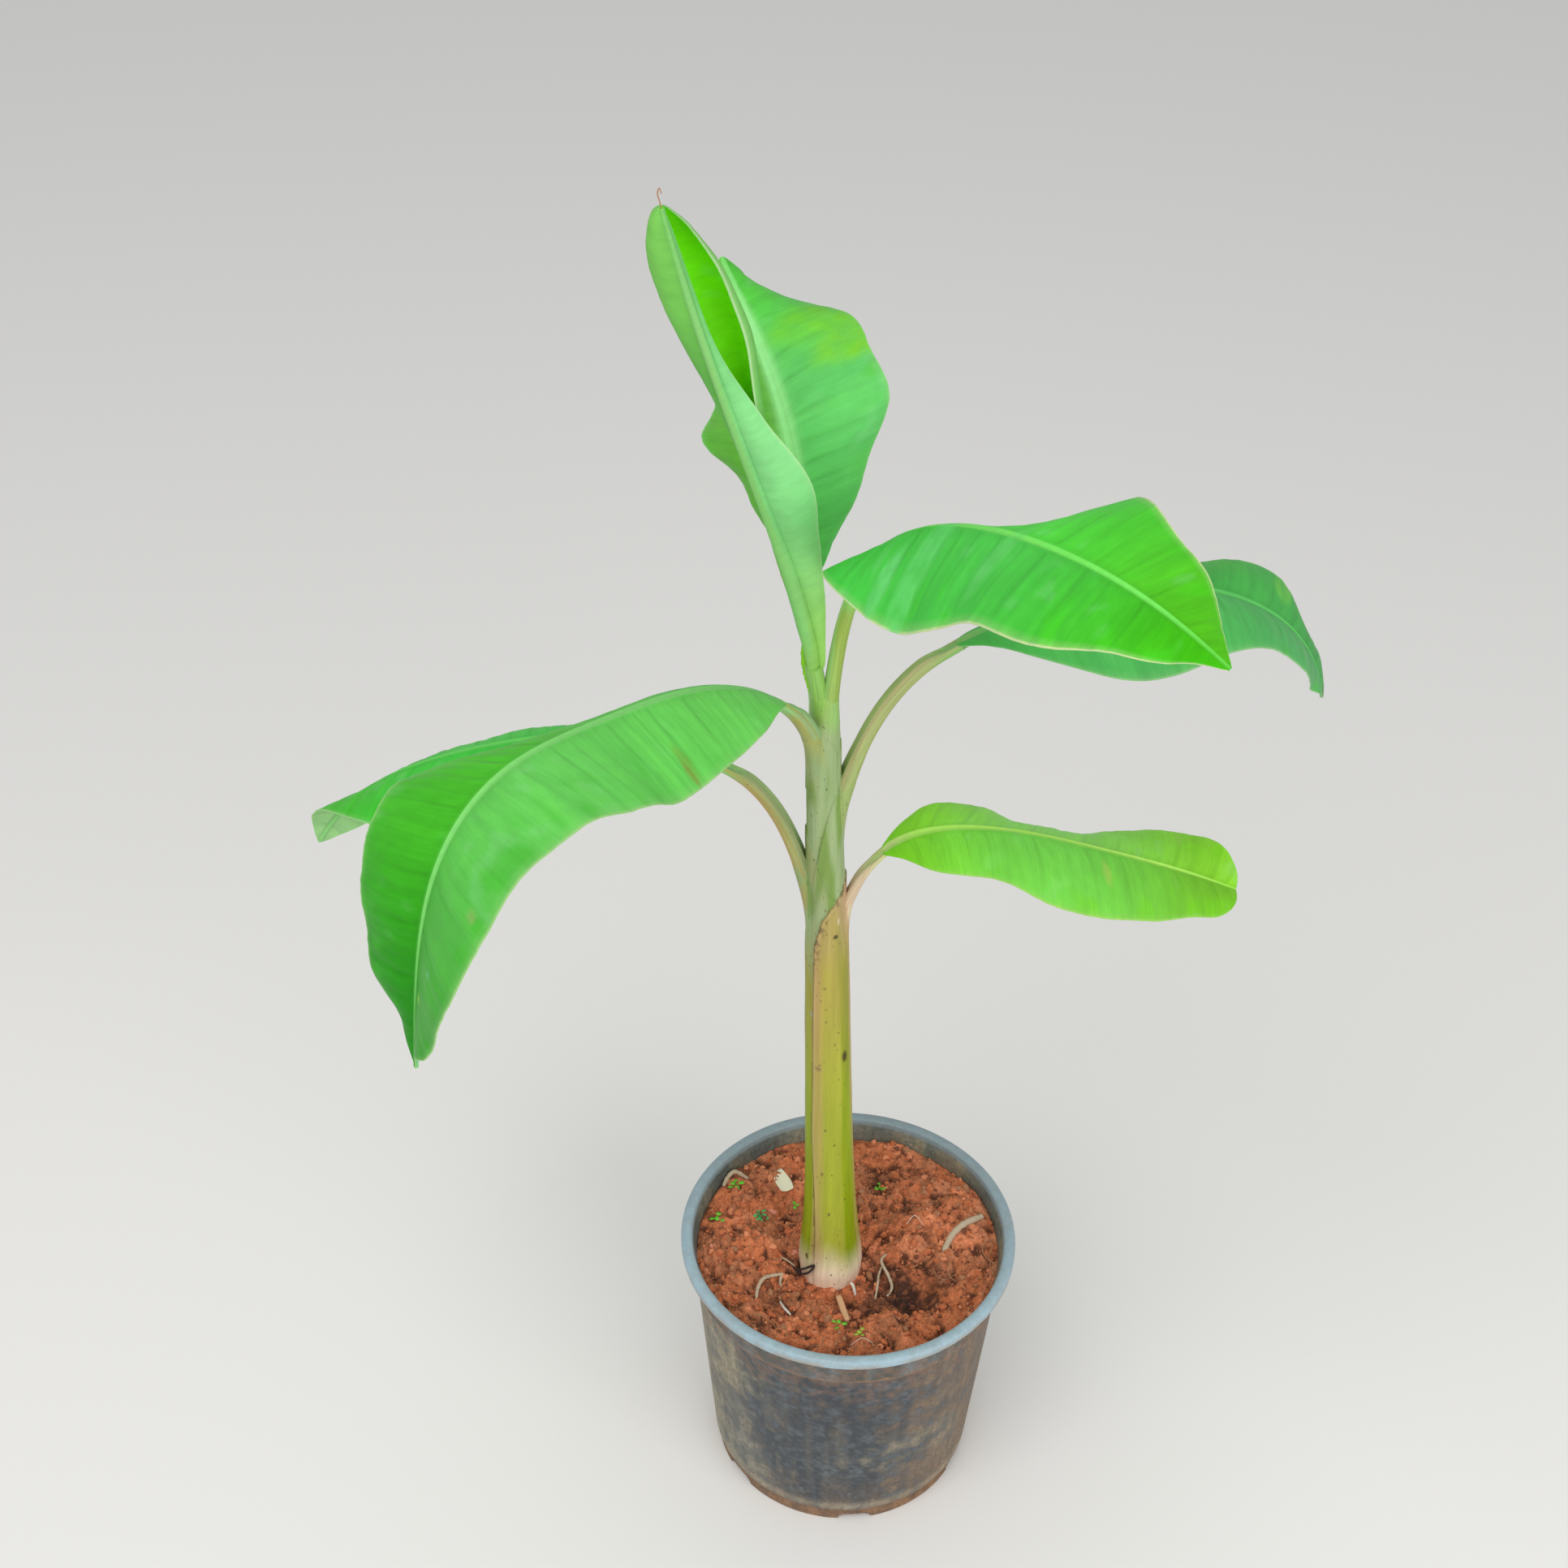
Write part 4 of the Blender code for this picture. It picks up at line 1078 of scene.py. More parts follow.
# ---- leaf stalks -------------------------------------------------------------------------
def make_stalk(leaf, settings, skin):
    """One stalk: channelled on top, flattening into the blade's midrib at its end."""
    rail = Rail(leaf)
    sides, stations = settings.sides, settings.stations
    distance = np.linspace(0, leaf["stalk"] + 2.5 * MM, stations)
    point, _, left, up = rail.at(distance)
    radius = rail.radius(np.minimum(distance, leaf["stalk"]))
    near_blade = step(leaf["stalk"] - 0.028, leaf["stalk"] - 0.001, distance)[:, None]
    turn = np.linspace(0, 2 * np.pi, sides, endpoint=False)
    sideways, high = np.cos(turn), np.sin(turn)
    dip = 1 - settings.channel * np.exp(-((sideways / 0.5) ** 2))
    lip = 1 + 0.1 * np.exp(-(((np.abs(sideways) - 0.72) / 0.2) ** 2)) * (high > 0)
    round_high = np.where(high > 0, high * dip * lip, high)
    flat_high = np.where(high > 0, -0.22 + 0.32 * np.abs(sideways) ** 1.5, -0.42 + 0.68 * high)
    flat_high = np.where(np.abs(high) < 1e-6, -0.1, flat_high)
    rise = round_high[None, :] * (1 - near_blade) + flat_high[None, :] * near_blade
    turned = step(leaf["stalk"] * 0.4, leaf["stalk"], distance)[:, None]
    roll = np.radians(smooth(leaf["roll"], 0.0)) * turned
    out = sideways[None, :] + 0 * rise
    place_left = out * np.cos(roll) - rise * np.sin(roll)
    place_up = out * np.sin(roll) + rise * np.cos(roll)
    grain = 0.012 * ripple(turn[None, :] * radius[:, None], 3.5 * MM, leaf["name"])
    reach = (radius[:, None] * (1 + grain))[..., None]
    points = point[:, None, :] + reach * (
        place_left[..., None] * left[:, None, :] + place_up[..., None] * up[:, None, :]
    )
    tones = {key: linear(leaf["tones"][key]) for key in ("stalk", "band", "lip", "rib")}
    along = distance[:, None] + 0 * rise
    wide = cloud(np.stack([out * 0.4, rise * 0.4, along * 18], -1), 1.0, len(leaf["nodes"]))
    tone = mix(tones["stalk"], tones["band"], step(0.1, -0.75, high)[None, :] * 0.85 + 0.3 * wide)
    near_root = 1 - step(0.02, 0.06, along)
    tone = mix(tone, mix(tones["stalk"], tones["band"], 0.45), 0.8 * near_root)
    tone = mix(tone, mix(tones["rib"], tones["stalk"], 0.5), near_blade)
    lips = np.exp(-(((np.abs(sideways) - 0.86) / 0.1) ** 2)) * (high > 0)
    tone = mix(tone, tones["lip"], 0.6 * lips[None, :] * (1 - near_root))
    rim = np.exp(-(((turn - math.radians(180)) / 0.14) ** 2))
    rim = rim + np.exp(-((np.minimum(turn, 2 * np.pi - turn) / 0.14) ** 2))
    tone = mix(tone, tones["band"], 0.7 * rim[None, :] * (1 - near_root))
    ring = np.stack([out * radius[:, None], rise * radius[:, None]], -1).reshape(-1, 2)
    run = np.stack([along + LEAVES.index(leaf), 0 * along], -1).reshape(-1, 2)
    faces = capped_faces(stations, sides)
    piece = new_mesh(
        leaf["name"] + "_leaf_stalk", points.reshape(-1, 3), faces, [skin],
        maps={"ring": ring, "run": run}, tints={"tone": tone.reshape(-1, 3)}, sharp=55,
    )
    return settle(piece, "leaf_stalk", leaf["name"] + "_stalk")


# ---- pseudostem --------------------------------------------------------------------------
# each sheath: direction of its stalk, which way round its outer margin runs, how far it
# stands out, and its margins as (angle from the stalk, height); the innermost comes first
SHEATHS = (
    dict(heading=-136, way=1, stands=0.8,
         outer=((0, 0.71), (37, 0.7), (70, 0.693), (92, 0.686), (97, 0.675), (101, 0.6),
                (104, 0.19)),
         inner=((0, 0.71), (70, 0.695), (150, 0.67), (256, 0.62))),
    dict(heading=3, way=-1, stands=0.9,
         outer=((0, 0.69), (26, 0.675), (38, 0.657), (70, 0.643), (86, 0.632), (101, 0.617),
                (112, 0.606), (130, 0.58), (138, 0.5), (140, 0.19)),
         inner=((0, 0.69), (60, 0.66), (120, 0.635), (180, 0.61), (220, 0.57))),
    dict(heading=180, way=1, stands=1.0,
         outer=((0, 0.62), (45, 0.604), (74, 0.59), (85, 0.58), (95, 0.572), (130, 0.559),
                (150, 0.5), (152, 0.19)),
         inner=((0, 0.62), (60, 0.6), (120, 0.575), (208, 0.53))),
    dict(heading=0, way=-1, stands=1.2,
         outer=((0, 0.582), (47, 0.569), (81, 0.559), (102, 0.549), (124, 0.525), (127, 0.473),
                (133, 0.348), (123, 0.233), (120, 0.19)),
         inner=((0, 0.582), (60, 0.566), (120, 0.548), (180, 0.525), (235, 0.475))),
)
# bands round the front of the lower stem: direction, then the colour's name; the dark green and
# olive bands are the sheaths' own colour, partly deepened as painted shade on the stem's sides
STEM_BANDS = (
    (-230, "green"), (-190, "olive"), (-134, "olive"), (-127, "beige"), (-110, "beige"),
    (-98, "green"), (-66, "green"), (-57, "dark_green"), (-42, "dark_green"), (-32, "olive"),
    (-18, "beige"), (5, "olive"), (40, "green"), (80, "dark_green"), (110, "green"), (130, "green"),
)
# how softly a stalk runs into the stem
STALK_BLEND = 5 * MM
# marks on the stem: direction, height, half width and half height in mm, colour
STEM_MARKS = (
    (-134, 0.462, 2.2, 2.4, "#a9ab98"), (-112, 0.414, 3, 2.2, "#8a6a4c"),
    (-50, 0.424, 2.3, 6.2, "#3a2010"), (-68, 0.535, 1.8, 1.8, "#2e2a20"),
    (-59, 0.548, 0.8, 3.6, "#cbbda4"), (-96, 0.49, 1.0, 1.2, "#5d4d36"),
    (-105, 0.479, 0.9, 1.2, "#5d4d36"), (-74, 0.438, 1, 1.3, "#5d4d36"),
    (-110, 0.418, 1, 1.3, "#5d4d36"), (-98, 0.355, 1, 1.3, "#5d4d36"),
    (-106, 0.31, 1, 1.4, "#5d4d36"), (-92, 0.27, 1.1, 1.3, "#5d4d36"),
    (-78, 0.34, 0.9, 1.2, "#5d4d36"), (-140, 0.218, 2.4, 3, "#4a3523"),
    (20, 0.235, 3, 4, "#33281c"),
)


def swollen(height, turn, radius, leaf):
    """The stem's reach where a stalk rises out of it, and how far the stalk makes the surface."""
    rail = Rail(leaf)
    rising = rail.points[: int(np.argmax(rail.points[:, 2])) + 1, 2]
    distance = np.interp(height, rising, rail.share[: len(rising)] * rail.length)
    point, along, _, _ = rail.at(distance)
    x, stem = stem_round(height)
    off_x, off_y = point[:, 0] - x, point[:, 1] - STEM_Y
    away = np.hypot(off_x, off_y)[:, None]
    towards = np.arctan2(off_y, off_x + 1e-9)[:, None]
    wide = rail.radius(distance)[:, None] * 1.03
    deep = wide / np.clip(along[:, 2:], 0.35, 1)
    cosine, sine = np.cos(turn - towards), np.sin(turn - towards)
    spread = (cosine / deep) ** 2 + (sine / wide) ** 2
    half = away * cosine / deep**2
    inner = half**2 - spread * ((away / deep) ** 2 - 1)
    reach = np.where(inner > 0, (half + np.sqrt(np.maximum(inner, 0))) / spread, 0)
    for _ in range(3):
        reach = (np.roll(reach, 1, 1) + 2 * reach + np.roll(reach, -1, 1)) / 4
    left_stem = step(stem[:, None] - 0.7 * wide, stem[:, None] + 0.1 * wide, away - deep)
    begun = (height > leaf["attach"])[:, None] & (height < rising[-1] - 1 * MM)[:, None]
    reach = np.where(begun, reach * (1 - left_stem), 0)
    near = np.clip(1 - np.abs(radius - reach) / STALK_BLEND, 0, 1)
    joined = np.maximum(radius, reach) + near**2 * STALK_BLEND / 4
    return joined, step(-1.6 * MM, 1.2 * MM, reach - radius)


def stem_shape(height, turn):
    """Over a grid: radius of the stem's surface, which sheath lies outermost, counted from 1,
    and the angle round to that sheath's outer margin."""
    radius = stem_round(height)[1][:, None] + 0 * turn[None, :]
    total = np.zeros_like(radius)
    outermost = np.zeros_like(radius)
    from_margin = np.full_like(radius, 360.0)
    for order, sheath in enumerate(SHEATHS):
        outer_turns, outer_heights = zip(*sheath["outer"])
        inner_turns, inner_heights = zip(*sheath["inner"])
        outer = np.interp(-height, -np.array(outer_heights), outer_turns)[:, None]
        inner = np.interp(-height, -np.array(inner_heights), inner_turns)[:, None]
        outer = np.where(height[:, None] > outer_heights[0], -5, outer)
        inner = np.where(height[:, None] > inner_heights[0], -5, inner)
        away = np.mod(sheath["way"] * (turn[None, :] - sheath["heading"]), 360)
        on_outer = away <= outer
        inward = np.where(on_outer, outer - away, outer + 360 - away)
        covered = on_outer | (360 - away <= inner)
        covered = covered & (height[:, None] <= outer_heights[0])
        rise = sheath["stands"] * MM * (1 - 0.85 * inward / 360)
        total = total + np.where(covered, rise, 0)
        outermost = np.where(covered, order + 1, outermost)
        from_margin = np.where(covered, inward, from_margin)
    total = total - total.mean(1, keepdims=True)
    return radius + np.clip(total, -1.6 * MM, 2.4 * MM), outermost, from_margin


def stem_tones(height, turn, outermost, from_margin, places, settings):
    """Colours of the sheaths, with their bands, margins, bruises and the pale foot."""
    named = {
        key: tuple(getattr(settings, key))
        for key in ("green", "dark_green", "olive", "beige", "pale")
    }
    wander = cloud(places * (1, 1, 0.25), 0.02, 3)
    fine = cloud(places * (1, 1, 0.12), 0.006, 5)
    directions = [d for d, _ in STEM_BANDS]
    place = np.mod(turn[None, :] + 5 * wander - directions[0], 360) + directions[0]
    shades = np.array([named[name] for _, name in STEM_BANDS])
    tone = np.stack([np.interp(place, directions, shades[:, i]) for i in range(3)], -1)
    tone = mix(tone, named["green"], 0.12 + 0.3 * wander)
    tall = height[:, None] + 0 * place
    # warmer towards the top of the lower sheaths and greener below
    warm = step(0.34, 0.5, tall)
    tone = mix(tone, linear("#b4935a"), 0.4 * warm + 0.2 * warm * wander)
    tone = mix(tone, linear("#96ac1c"), 0.22 * (1 - warm) * step(0.2, 0.3, tall))
    # waxy pale upper sheaths with green patches
    under = outermost < 4
    upper = step(0.46, 0.56, tall) * under
    tone = mix(tone, named["pale"], 0.88 * upper)
    patches = step(-0.12, 0.3, cloud(places * (1, 1, 0.2), 0.009, 7))
    tone = mix(tone, linear("#72903a"), 0.8 * upper * patches)
    dull = (outermost == 3) * step(0.545, 0.59, tall) * (1 - patches)
    tone = mix(tone, linear("#9c9a5c"), 0.5 * dull)
    beige = np.clip(0.55 + 0.9 * wander + 0.35 * fine, 0, 0.8) * step(-122, -92, place)
    tone = mix(tone, linear("#bb987c"), beige * (outermost == 4) * step(0.5, 0.55, tall))
    # brown margins; the outermost is torn at its top and has a pale edge beside it
    line = (1 - step(2.2, 4.8, from_margin)) * (outermost > 0)
    line = line * (0.24 + 0.36 * (outermost == 4) + 0.4 * wander + 0.3 * fine)
    tone = mix(tone, tuple(settings.margin), line)
    torn = (1 - step(4, 24, from_margin)) * (outermost == 4) * step(0.49, 0.53, tall)
    torn = torn * step(0.0, 0.2, cloud(places, 0.003, 17) + 0.4 * wander)
    tone = mix(tone, linear("#4a3c20"), 0.8 * torn)
    pale_edge = step(3, 6, from_margin) * (1 - step(6, 14, from_margin)) * (outermost == 4)
    tone = mix(tone, linear("#c9ab80"), 0.3 * pale_edge)
    # pale foot, pink where it meets the soil
    rise = 0.228 + 0.008 * np.exp(-(((place + 92) / 22) ** 2)) + 0.01 * wander
    foot = 1 - step(-0.03, 0.008, tall - rise)
    tone = mix(tone, tuple(settings.foot), 0.9 * foot)
    tone = mix(tone, linear("#d9a08e"), (0.45 + 0.5 * wander) * (1 - step(0.195, 0.216, tall)))
    tone = tone * (1 + 0.1 * fine)[..., None]
    _, radius = stem_at(height)
    for direction, level, wide, high, code in STEM_MARKS:
        side = np.radians(np.mod(turn[None, :] - direction + 180, 360) - 180) * radius[:, None]
        size = np.hypot(side / (wide * MM), (tall - level) / (high * MM)) + 0.35 * fine
        tone = mix(tone, linear(code), 0.85 * (1 - step(0.6, 1.1, size)))
    return tone


def make_stem(settings, skin):
    """Stem of rolled leaf sheaths that swells into each stalk as it leaves."""
    rows, sides = settings.rows, settings.sides
    height = np.linspace(STEM[0, 0], STEM[-1, 0], rows)
    turn = np.linspace(-180, 180, sides, endpoint=False)
    radius, outermost, from_margin = stem_shape(height, turn)
    angle = np.radians(turn)[None, :]
    x, _ = stem_round(height)
    top_off = np.sqrt(np.clip(1 - step(0.722, 0.7335, height) * 0.6, 0, 1))[:, None]

    def placed(reach):
        return np.stack([
            x[:, None] + reach * np.cos(angle), STEM_Y + reach * np.sin(angle),
            height[:, None] + 0 * reach,
        ], -1)

    dents = cloud(placed(radius) * (1, 1, 0.4), 0.014, 9)
    fibres = ripple(angle * radius, 2.6 * MM, "fibres")
    tone = stem_tones(height, turn, outermost, from_margin, placed(radius), settings)
    for leaf in LEAVES:
        radius, share = swollen(height, angle, radius, leaf)
        tones = leaf["tones"]
        skin_tone = mix(linear(tones["stalk"]), linear(tones["band"]), 0.45 + 0.8 * dents)
        tone = mix(tone, skin_tone, 0.9 * share)
    points = placed((radius + 0.22 * MM * dents + 0.05 * MM * fibres) * top_off)
    piece = new_mesh(
        "pseudostem_sheaths", points.reshape(-1, 3), capped_faces(rows, sides), [skin],
        tints={"tone": tone.reshape(-1, 3)}, sharp=70,
    )
    return settle(piece, "stem_sheath", "pseudostem")


# ---- pot ---------------------------------------------------------------------------------
def wall_radius(height):
    """Outer radius of the pot's tapering wall."""
    low, high = FOOT_RADIUS + FOOT_STEP, RIM_RADIUS - LIP_WIDTH + WALL - COLLAR_PROUD
    return low + (high - low) * (height - FOOT_HEIGHT) / (POT_HEIGHT - FOOT_HEIGHT)


def inner_radius(height):
    """Inner radius of the pot's wall."""
    low, high = FOOT_RADIUS - WALL, RIM_RADIUS - LIP_WIDTH - COLLAR_PROUD
    return low + (high - low) * (height - FLOOR) / (POT_HEIGHT - FLOOR)


def arc(centre, radius, start, end, count):
    """Points of an arc in the profile's plane, angles in degrees."""
    turns = np.radians(np.linspace(start, end, count))
    return [
        (centre[0] + radius[0] * math.cos(t), centre[1] + radius[1] * math.sin(t)) for t in turns
    ]


def pot_profile():
    """(radius, height) pairs from the underside, up the outside, over the lip and down inside."""
    edge = 1.2 * MM
    profile = [(0.0, 0.0), (FOOT_RADIUS * 0.5, 0.0), (FOOT_RADIUS - 9 * MM, 0.0)]
    profile += arc((FOOT_RADIUS - edge, edge), (edge, edge), -90, 0, 5)
    profile += [(FOOT_RADIUS, h) for h in np.linspace(0.003, FOOT_HEIGHT - 2 * MM, 8)]
    profile += arc(
        (FOOT_RADIUS + FOOT_STEP, FOOT_HEIGHT - 2 * MM), (FOOT_STEP, 2 * MM), 180, 90, 5
    )
    profile += [(wall_radius(h), h) for h in np.linspace(FOOT_HEIGHT + 1 * MM, LEDGE - 1 * MM, 114)]
    for rise, proud in ((0, 0.1), (0.6, 1.1), (1.5, 1.5)):
        height = LEDGE + rise * MM
        profile.append((wall_radius(height) + proud * MM, height))
    on_collar = np.linspace(LEDGE + 3 * MM, LIP_LOW - 1 * MM, 18)
    profile += [(wall_radius(h) + COLLAR_PROUD, h) for h in on_collar]
    profile += arc((wall_radius(LIP_LOW) + COLLAR_PROUD + 1 * MM, LIP_LOW - 1 * MM),
                   (1 * MM, 1 * MM), 180, 90, 3)
    profile += [(RIM_RADIUS - 2.6 * MM, LIP_LOW)]
    profile += arc((RIM_RADIUS - 1.5 * MM, LIP_LOW + 1.5 * MM), (1.5 * MM, 1.5 * MM), -90, 0, 5)
    middle = (RIM_RADIUS - LIP_WIDTH / 2, POT_HEIGHT - LIP_ROUND)
    profile += arc(middle, (LIP_WIDTH / 2, LIP_ROUND), 0, 180, 17)
    taper = POT_HEIGHT - LIP_TAPER_END
    inside = RIM_RADIUS - LIP_WIDTH
    for share in np.linspace(0.15, 1, 8):
        bend = share * share * (3 - 2 * share)
        height = POT_HEIGHT - LIP_ROUND + (taper - POT_HEIGHT + LIP_ROUND) * share
        profile.append((inside + (inner_radius(taper) - inside) * bend, height))
    profile += [(inner_radius(h), h) for h in np.linspace(taper - 1 * MM, 0.176, 18)]
    profile += [(inner_radius(h), h) for h in np.linspace(0.16, FLOOR + 2 * MM, 6)]
    profile += [(inner_radius(FLOOR) - 2 * MM, FLOOR), (40 * MM, FLOOR), (0.0, FLOOR)]
    return np.array(profile)


def pot_tones(radius, height, turn, inside, settings):
    """Colours and dustiness over the pot's surface."""
    plastic, lip, dust, film = (
        tuple(getattr(settings, key)) for key in ("plastic", "lip", "dust", "film")
    )
    spots = np.stack([radius * np.cos(turn), radius * np.sin(turn), height], -1)
    patch = cloud(spots, settings.mottle, 1)
    broken = cloud(spots, settings.mottle * 0.36, 2)
    fine = cloud(spots, settings.mottle * 0.13, 6)
    streak = cloud(spots * (1, 1, 0.1), 0.008, 3)
    tint = cloud(spots, 0.07, 4)
    away = np.mod(np.degrees(turn) - CLEAN_SIDE + 180, 360) - 180
    # bare plastic in patches on two sides, with less of it near the ground
    clean = 1.05 * np.exp(-((away / 40) ** 2)) + 0.5 * np.exp(-(((np.abs(away) - 170) / 50) ** 2))
    bare = np.clip(clean + 0.5 * patch + 0.6 * broken + 0.3 * fine + 0.08, 0, 1)
    lower = 1 - step(0.03, 0.075, height)
    dusty = np.clip(1 - bare + 0.4 * lower * (0.6 + patch) + 0.35 * streak, 0.05, 1)
    pale_dust = mix(linear("#9a917b"), film, 0.25 + 0.6 * tint)
    side = np.sin(np.radians(away)) + 1.2 * tint
    dirt = mix(pale_dust, dust, step(-0.5, 0.6, side) + 0.3 * streak)
    tone = mix(plastic, dirt, 0.92 * dusty)
    tone = mix(tone, film, 0.32 * np.clip(1.3 * fine + 1.3 * broken + 0.1, 0, 1) * bare)
    # greyer collar, with a line of dirt along its ledge and under the lip
    collar = step(LEDGE - 1 * MM, LEDGE + 1 * MM, height) * (1 - inside)
    grey = mix(linear("#4e4a42"), film, 0.3 + 0.5 * streak + 0.3 * patch)
    tone = mix(tone, grey, 0.8 * collar)
    line = np.exp(-(((height - LEDGE - 2 * MM * broken) / (1.7 * MM)) ** 2)) * (1 - inside)
    tone = mix(tone, linear("#97714c"), np.clip(line * (0.75 + 0.7 * broken), 0, 0.9))
    under_lip = step(0.2085, 0.2125, height) * (1 - step(0.2135, 0.215, height)) * (1 - inside)
    tone = mix(tone, linear("#5a4a3c"), 0.6 * under_lip)
    # dried soil below the rim, a splash ring above the foot, and the earthy foot
    crust = step(0.15, 0.5, cloud(spots, 0.007, 9) + 0.35 * step(0.15, 0.18, height)) * (1 - inside)
    tone = mix(tone, linear("#94694a"), 0.25 * crust * step(0.145, 0.18, height + 0.03 * patch))
    ring = np.exp(-(((height - 0.019) / (5 * MM)) ** 2)) * (1 - inside)
    tone = mix(tone, linear("#a3947c"), 0.65 * ring * (0.8 + 0.5 * streak))
    foot = (1 - step(FOOT_HEIGHT - 1 * MM, FOOT_HEIGHT, height)) * (1 - inside)
    tone = mix(tone, mix(linear("#8a6645"), plastic, 0.2 - 0.5 * broken), 0.9 * foot)
    wall_in = mix(linear("#6e7264"), linear("#8d7f66"), 0.5 + 0.9 * streak)
    wall_in = mix(wall_in, linear("#565a55"), 0.5 + 0.9 * patch)
    tone = mix(tone, wall_in, inside)
    # pale bluish lip: chalky scuffed plastic with a painted reflection, paler at the front, and
    # worn along its lower edge
    on_lip = step(0.2136, 0.2155, height) * (1 - inside * step(0.2185, 0.2155, height))
    front = 0.5 + 0.5 * np.cos(np.radians(away))
    chalk_and_reflection = mix(lip, linear("#6f7c7e"), 0.65 - 0.9 * front)
    chalk_and_reflection = mix(chalk_and_reflection, linear("#8d9390"), 0.12 + 0.35 * broken)
    worn = np.exp(-(((height - 0.2155) / (1.5 * MM)) ** 2)) * (1 - inside)
    chalk_and_reflection = mix(chalk_and_reflection, linear("#a08b70"), np.clip(worn * (0.5 + broken), 0, 0.7))
    tone = mix(tone, chalk_and_reflection, 0.95 * np.clip(on_lip, 0, 1))
    dull = np.clip(0.25 + 0.75 * dusty + 0.4 * inside - 0.35 * on_lip, 0, 1)
    return tone, np.stack([dull, 1 - 0.75 * np.clip(on_lip, 0, 1), dull], -1)


def make_pot(settings, plastic):
    """Nursery pot with its rolled lip, collar, foot ring and drain notches."""
    profile = pot_profile()
    sides = settings.sides
    turn = np.linspace(0, 2 * np.pi, sides, endpoint=False)
    rows = profile[1:-1]
    radius = rows[:, :1] + 0 * turn[None, :]
    height = rows[:, 1:] + 0 * turn[None, :]
    rise = np.arange(len(rows))
    top_row = int(np.argmax(rows[:, 1]))
    # the lip's arc ends 8 rows past its top
    inside = (rise > top_row + 8).astype(float)[:, None] + 0 * radius
    wobble = RIM_WOBBLE * np.cos(2 * turn + 0.6)[None, :] * step(0.1, 0.222, height)
    radius = radius - np.abs(wobble) * step(0.09, 0.1, radius)
    for i in range(NOTCHES):
        middle = math.radians(NOTCH_TURN + 360 * i / NOTCHES)
        side = radius * np.sin(turn[None, :] - middle)
        ahead = np.cos(turn[None, :] - middle) > 0
        arch = NOTCH_HEIGHT * np.sqrt(np.clip(1 - (side / (NOTCH_WIDTH / 2)) ** 4, 0, 1))
        pushed = ahead & (height < arch) & (inside < 0.5) & (radius > FOOT_RADIUS - NOTCH_DEPTH)
        radius = np.where(pushed, FOOT_RADIUS - NOTCH_DEPTH, radius)
    points = np.stack([radius * np.cos(turn), radius * np.sin(turn), height], -1)
    tone, parts = pot_tones(radius, height, turn[None, :] + 0 * radius, inside, settings)
    last = (len(rows) - 1) * sides
    count = len(rows) * sides
    faces = [tuple(face) for face in grid_faces(len(rows), sides, closed=True)[:, ::-1]]
    # the underside and the floor inside are fans round a middle point
    for k in range(sides):
        n = (k + 1) % sides
        faces.append((count, n, k))
        faces.append((count + 1, last + k, last + n))
    ends = np.array([(0, 0, profile[0][1]), (0, 0, profile[-1][1])])
    flat = {
        "tone": np.concatenate([tone.reshape(-1, 3), tone[0, :1], tone[-1, :1]]),
        "parts": np.concatenate([parts.reshape(-1, 3), parts[0, :1], parts[-1, :1]]),
    }
    piece = new_mesh(
        "nursery_pot", np.concatenate([points.reshape(-1, 3), ends]), faces, [plastic],
        tints=flat, sharp=40,
    )
    return settle(piece, "pot_plastic", "pot")


# ---- soil --------------------------------------------------------------------------------
# where the stem's middle lies at the soil, and the radius round it that crumbs keep clear of
STEM_X = float(stem_at(SOIL_LEVEL)[0])
CLEAR_RADIUS = 24.5 * MM
# seed of the crumbs' places and shapes, how many small ones there are for each large one, the
# shares of their four colours, and the moisture and painted shade that make a large one dark
CRUMB_SEED = 41
SMALL_PER_LARGE = 11
CRUMB_SHARES = (0.44, 0.22, 0.14, 0.2)
MOIST_SHADE_CRUMB = 0.45
# the dark crumb's place in the list of looks
DARK_CRUMB = 2


def from_stem(x, y):
    """Distance from the stem's middle."""
    return np.hypot(x - STEM_X, y - STEM_Y)


def soil_height(x, y):
    """Top of the soil without its clods."""
    clear = np.maximum(0.0, from_stem(x, y) - SEAT_RADIUS)
    height = SOIL_LEVEL + (SOIL_EDGE - SOIL_LEVEL) * np.minimum(1.0, clear / SOIL_RISE_RUN)
    fade = np.minimum(1.0, clear / HEAP_FADE)
    for px, py, spread, rise in np.array(SOIL_SHAPE) * MM:
        height = height + fade * rise * np.exp(-((x - px) ** 2 + (y - py) ** 2) / spread**2)
    return height


def lumps(x, y, size, seed):
    """Rounded clods of a size packed side by side: their height 0..1 and a number for each."""
    rise, kind = [], []
    for px, py in zip(np.ravel(x) / size, np.ravel(y) / size):
        distances, points = noise.voronoi((px, py, seed))
        rise.append(min(1.0, 1.9 * (distances[1] - distances[0])))
        kind.append(noise.cell(points[0] * 7.0))
    return np.reshape(rise, np.shape(x)), np.reshape(kind, np.shape(x))


